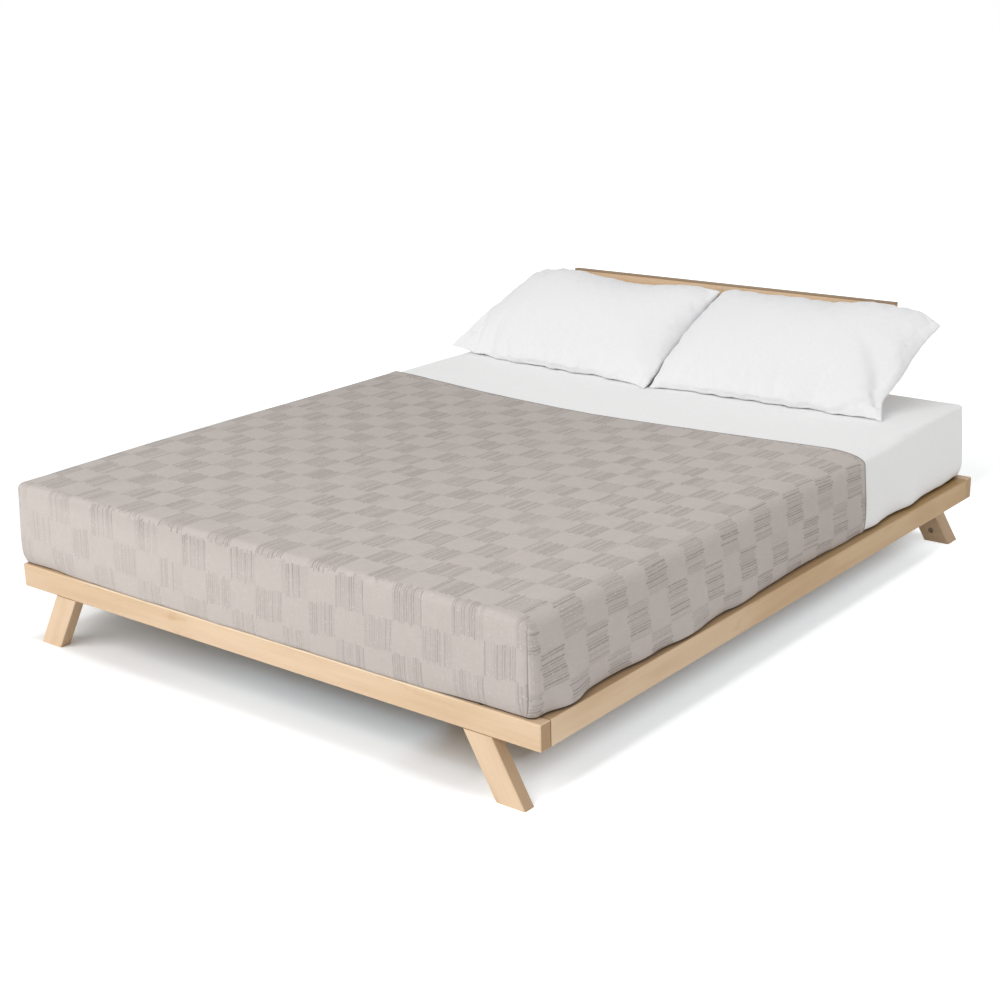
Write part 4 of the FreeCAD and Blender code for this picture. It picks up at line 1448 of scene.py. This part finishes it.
    def walls(self):
        """The mattress top and the headboard as flat stops for the cloth."""
        z = MATTRESS_HIGH.z - self.stop_gap
        y = HEADBOARD_FRONT + self.stop_gap
        plates = {
            "stop_below": [(-1.2, 0.3, z), (1.2, 0.3, z), (1.2, 1.2, z), (-1.2, 1.2, z)],
            "stop_behind": [(-1.2, y, 0.3), (1.2, y, 0.3), (1.2, y, 0.9), (-1.2, y, 0.9)],
        }
        made = []
        for name, corners in plates.items():
            mesh = bpy.data.meshes.new(name)
            mesh.from_pydata(corners, [], [(0, 1, 2, 3)])
            plate = new_object(name, mesh)
            plate.modifiers.new("Collision", "COLLISION")
            plate.collision.thickness_outer = self.stop_gap
            plate.collision.cloth_friction = 20.0
            made.append(plate)
        return made

    def crumple(self, mesh, grid, side):
        """Puckers along the seams, slow hollows, and the fold before the right pillow's slack end."""
        seed = 31.0 if side == "left" else 47.0
        moves = {}
        for (layer, i, j), index in grid.items():
            s, t = i / self.across, j / self.up
            vert = mesh.vertices[index]
            rim = min(s * 1.6, (1 - s) * 1.6, t, 1 - t)
            run = t * 9.0 if min(s, 1 - s) * 1.6 < min(t, 1 - t) else s * 15.0
            pucker = 0.0045 * wrinkle((run, layer * 5.0, seed), 1.0, seed) * math.exp(-rim / 0.07)
            hollow = 0.0035 * wrinkle(vert.co, 5.5, seed) * smooth_step(0.0, 0.25, rim)
            move = vert.normal * (pucker + hollow)
            if rim == 0.0:
                move = Vector((0.0, 0.0, 0.009 * wrinkle((run * 1.5, 2.0, seed), 1.0, seed)))
            if side == "right" and layer == 0:
                line = np.interp(t, *self.fold)
                past = smooth_step(-0.022, 0.022, s - line) * smooth_step(1.0, line + 0.03, s)
                held = smooth_step(0.02, 0.12, t) * smooth_step(0.66, 0.42, t)
                move -= vert.normal * self.fold_depth * past * held
            moves[index] = move
        for index, move in moves.items():
            mesh.vertices[index].co += move

    def settle(self, mesh, grid, side):
        """Keeps a pillow on the sheet, upright over its lower seam, off the headboard, by the other one."""
        for i in range(self.across + 1):
            rim = mesh.vertices[grid[0, i, 0]].co
            for j in range(1, self.up // 3):
                place = mesh.vertices[grid[0, i, j]].co
                rise = place.z - rim.z
                place.y = max(place.y, rim.y - 0.2 * rise - 1.5 * max(0.0, rise - 0.015))
        for vert in mesh.vertices:
            place = vert.co
            share = min(1.0, abs(place.x - MATTRESS_MIDDLE) / MATTRESS_HALF)
            floor = MATTRESS_HIGH.z - 0.003 * share * share + self.sheet_room + left_rise(place.x, place.y)
            place.z = max(place.z, floor)
            place.y = min(place.y, HEADBOARD_FRONT - self.board_room)
            line = np.interp(place.y, *zip(*self.between))
            seam_height = self.seam_place[1] + self.seam_slope * (place.y - self.seam_place[0])
            if side == "left":
                place.x = min(place.x, line - self.pillow_room)
                place.z = min(place.z, max(seam_height, floor) + 0.024 + 0.6 * (line - place.x))
            else:
                place.x = max(place.x, line - 0.12 * max(0.0, place.z - seam_height) + self.pillow_room)

    def hem(self, mesh, grid, side):
        """A sewn line near the open end of the case, with the cloth drawn in along it."""
        i = self.hem_column if side == "left" else self.across - self.hem_column
        rows = range(self.up + 1)
        middle = [(0, j) for j in rows] + [(1, j) for j in reversed(rows)]
        places = []
        ways = []
        for layer, j in middle:
            vert = mesh.vertices[grid[layer, i, j]]
            normal = vert.normal.copy()
            vert.co -= normal * 0.0012
            places.append(vert.co + normal * 0.0004)
            ways.append(normal)
        return stitch_row("pillow_hem_" + side, places, ways, *self.stitch)


OPERATORS = (
    BED_OT_stage, BED_OT_maple_frame, BED_OT_slatted_base, BED_OT_hardware,
    BED_OT_mattress, BED_OT_fitted_sheet, BED_OT_coverlet, BED_OT_pillows,
)
GROUPS = {"bed_finishes": BedFinishes, "bed_sizes": BedSizes, "bed_stage": BedStage}


class BED_PT_sidebar(bpy.types.Panel):
    """Pieces of the bed and the values they are made from"""

    bl_label = "Double Bed"
    bl_space_type = "VIEW_3D"
    bl_region_type = "UI"
    bl_category = "Bed"

    def draw(self, context):
        for operator in OPERATORS:
            self.layout.operator(operator.bl_idname)
        for name, group in GROUPS.items():
            box = self.layout.box()
            for key in group.__annotations__:
                box.prop(getattr(context.scene, name), key)


def register():
    """Adds the classes and their values to the scene."""
    for made in (*GROUPS.values(), *OPERATORS, BED_PT_sidebar):
        bpy.utils.register_class(made)
    for name, group in GROUPS.items():
        setattr(bpy.types.Scene, name, PointerProperty(type=group))


def unregister():
    """Takes the classes and their values away again."""
    for name in GROUPS:
        delattr(bpy.types.Scene, name)
    for made in (BED_PT_sidebar, *OPERATORS[::-1], *GROUPS.values()):
        bpy.utils.unregister_class(made)


def main():
    """Dresses the whole bed."""
    register()
    bpy.ops.bed.stage()
    bpy.ops.bed.maple_frame()
    bpy.ops.bed.slatted_base()
    bpy.ops.bed.hardware()
    bpy.ops.bed.mattress()
    bpy.ops.bed.fitted_sheet()
    bpy.ops.bed.coverlet()
    bpy.ops.bed.pillows()


if __name__ == "__main__":
    main()
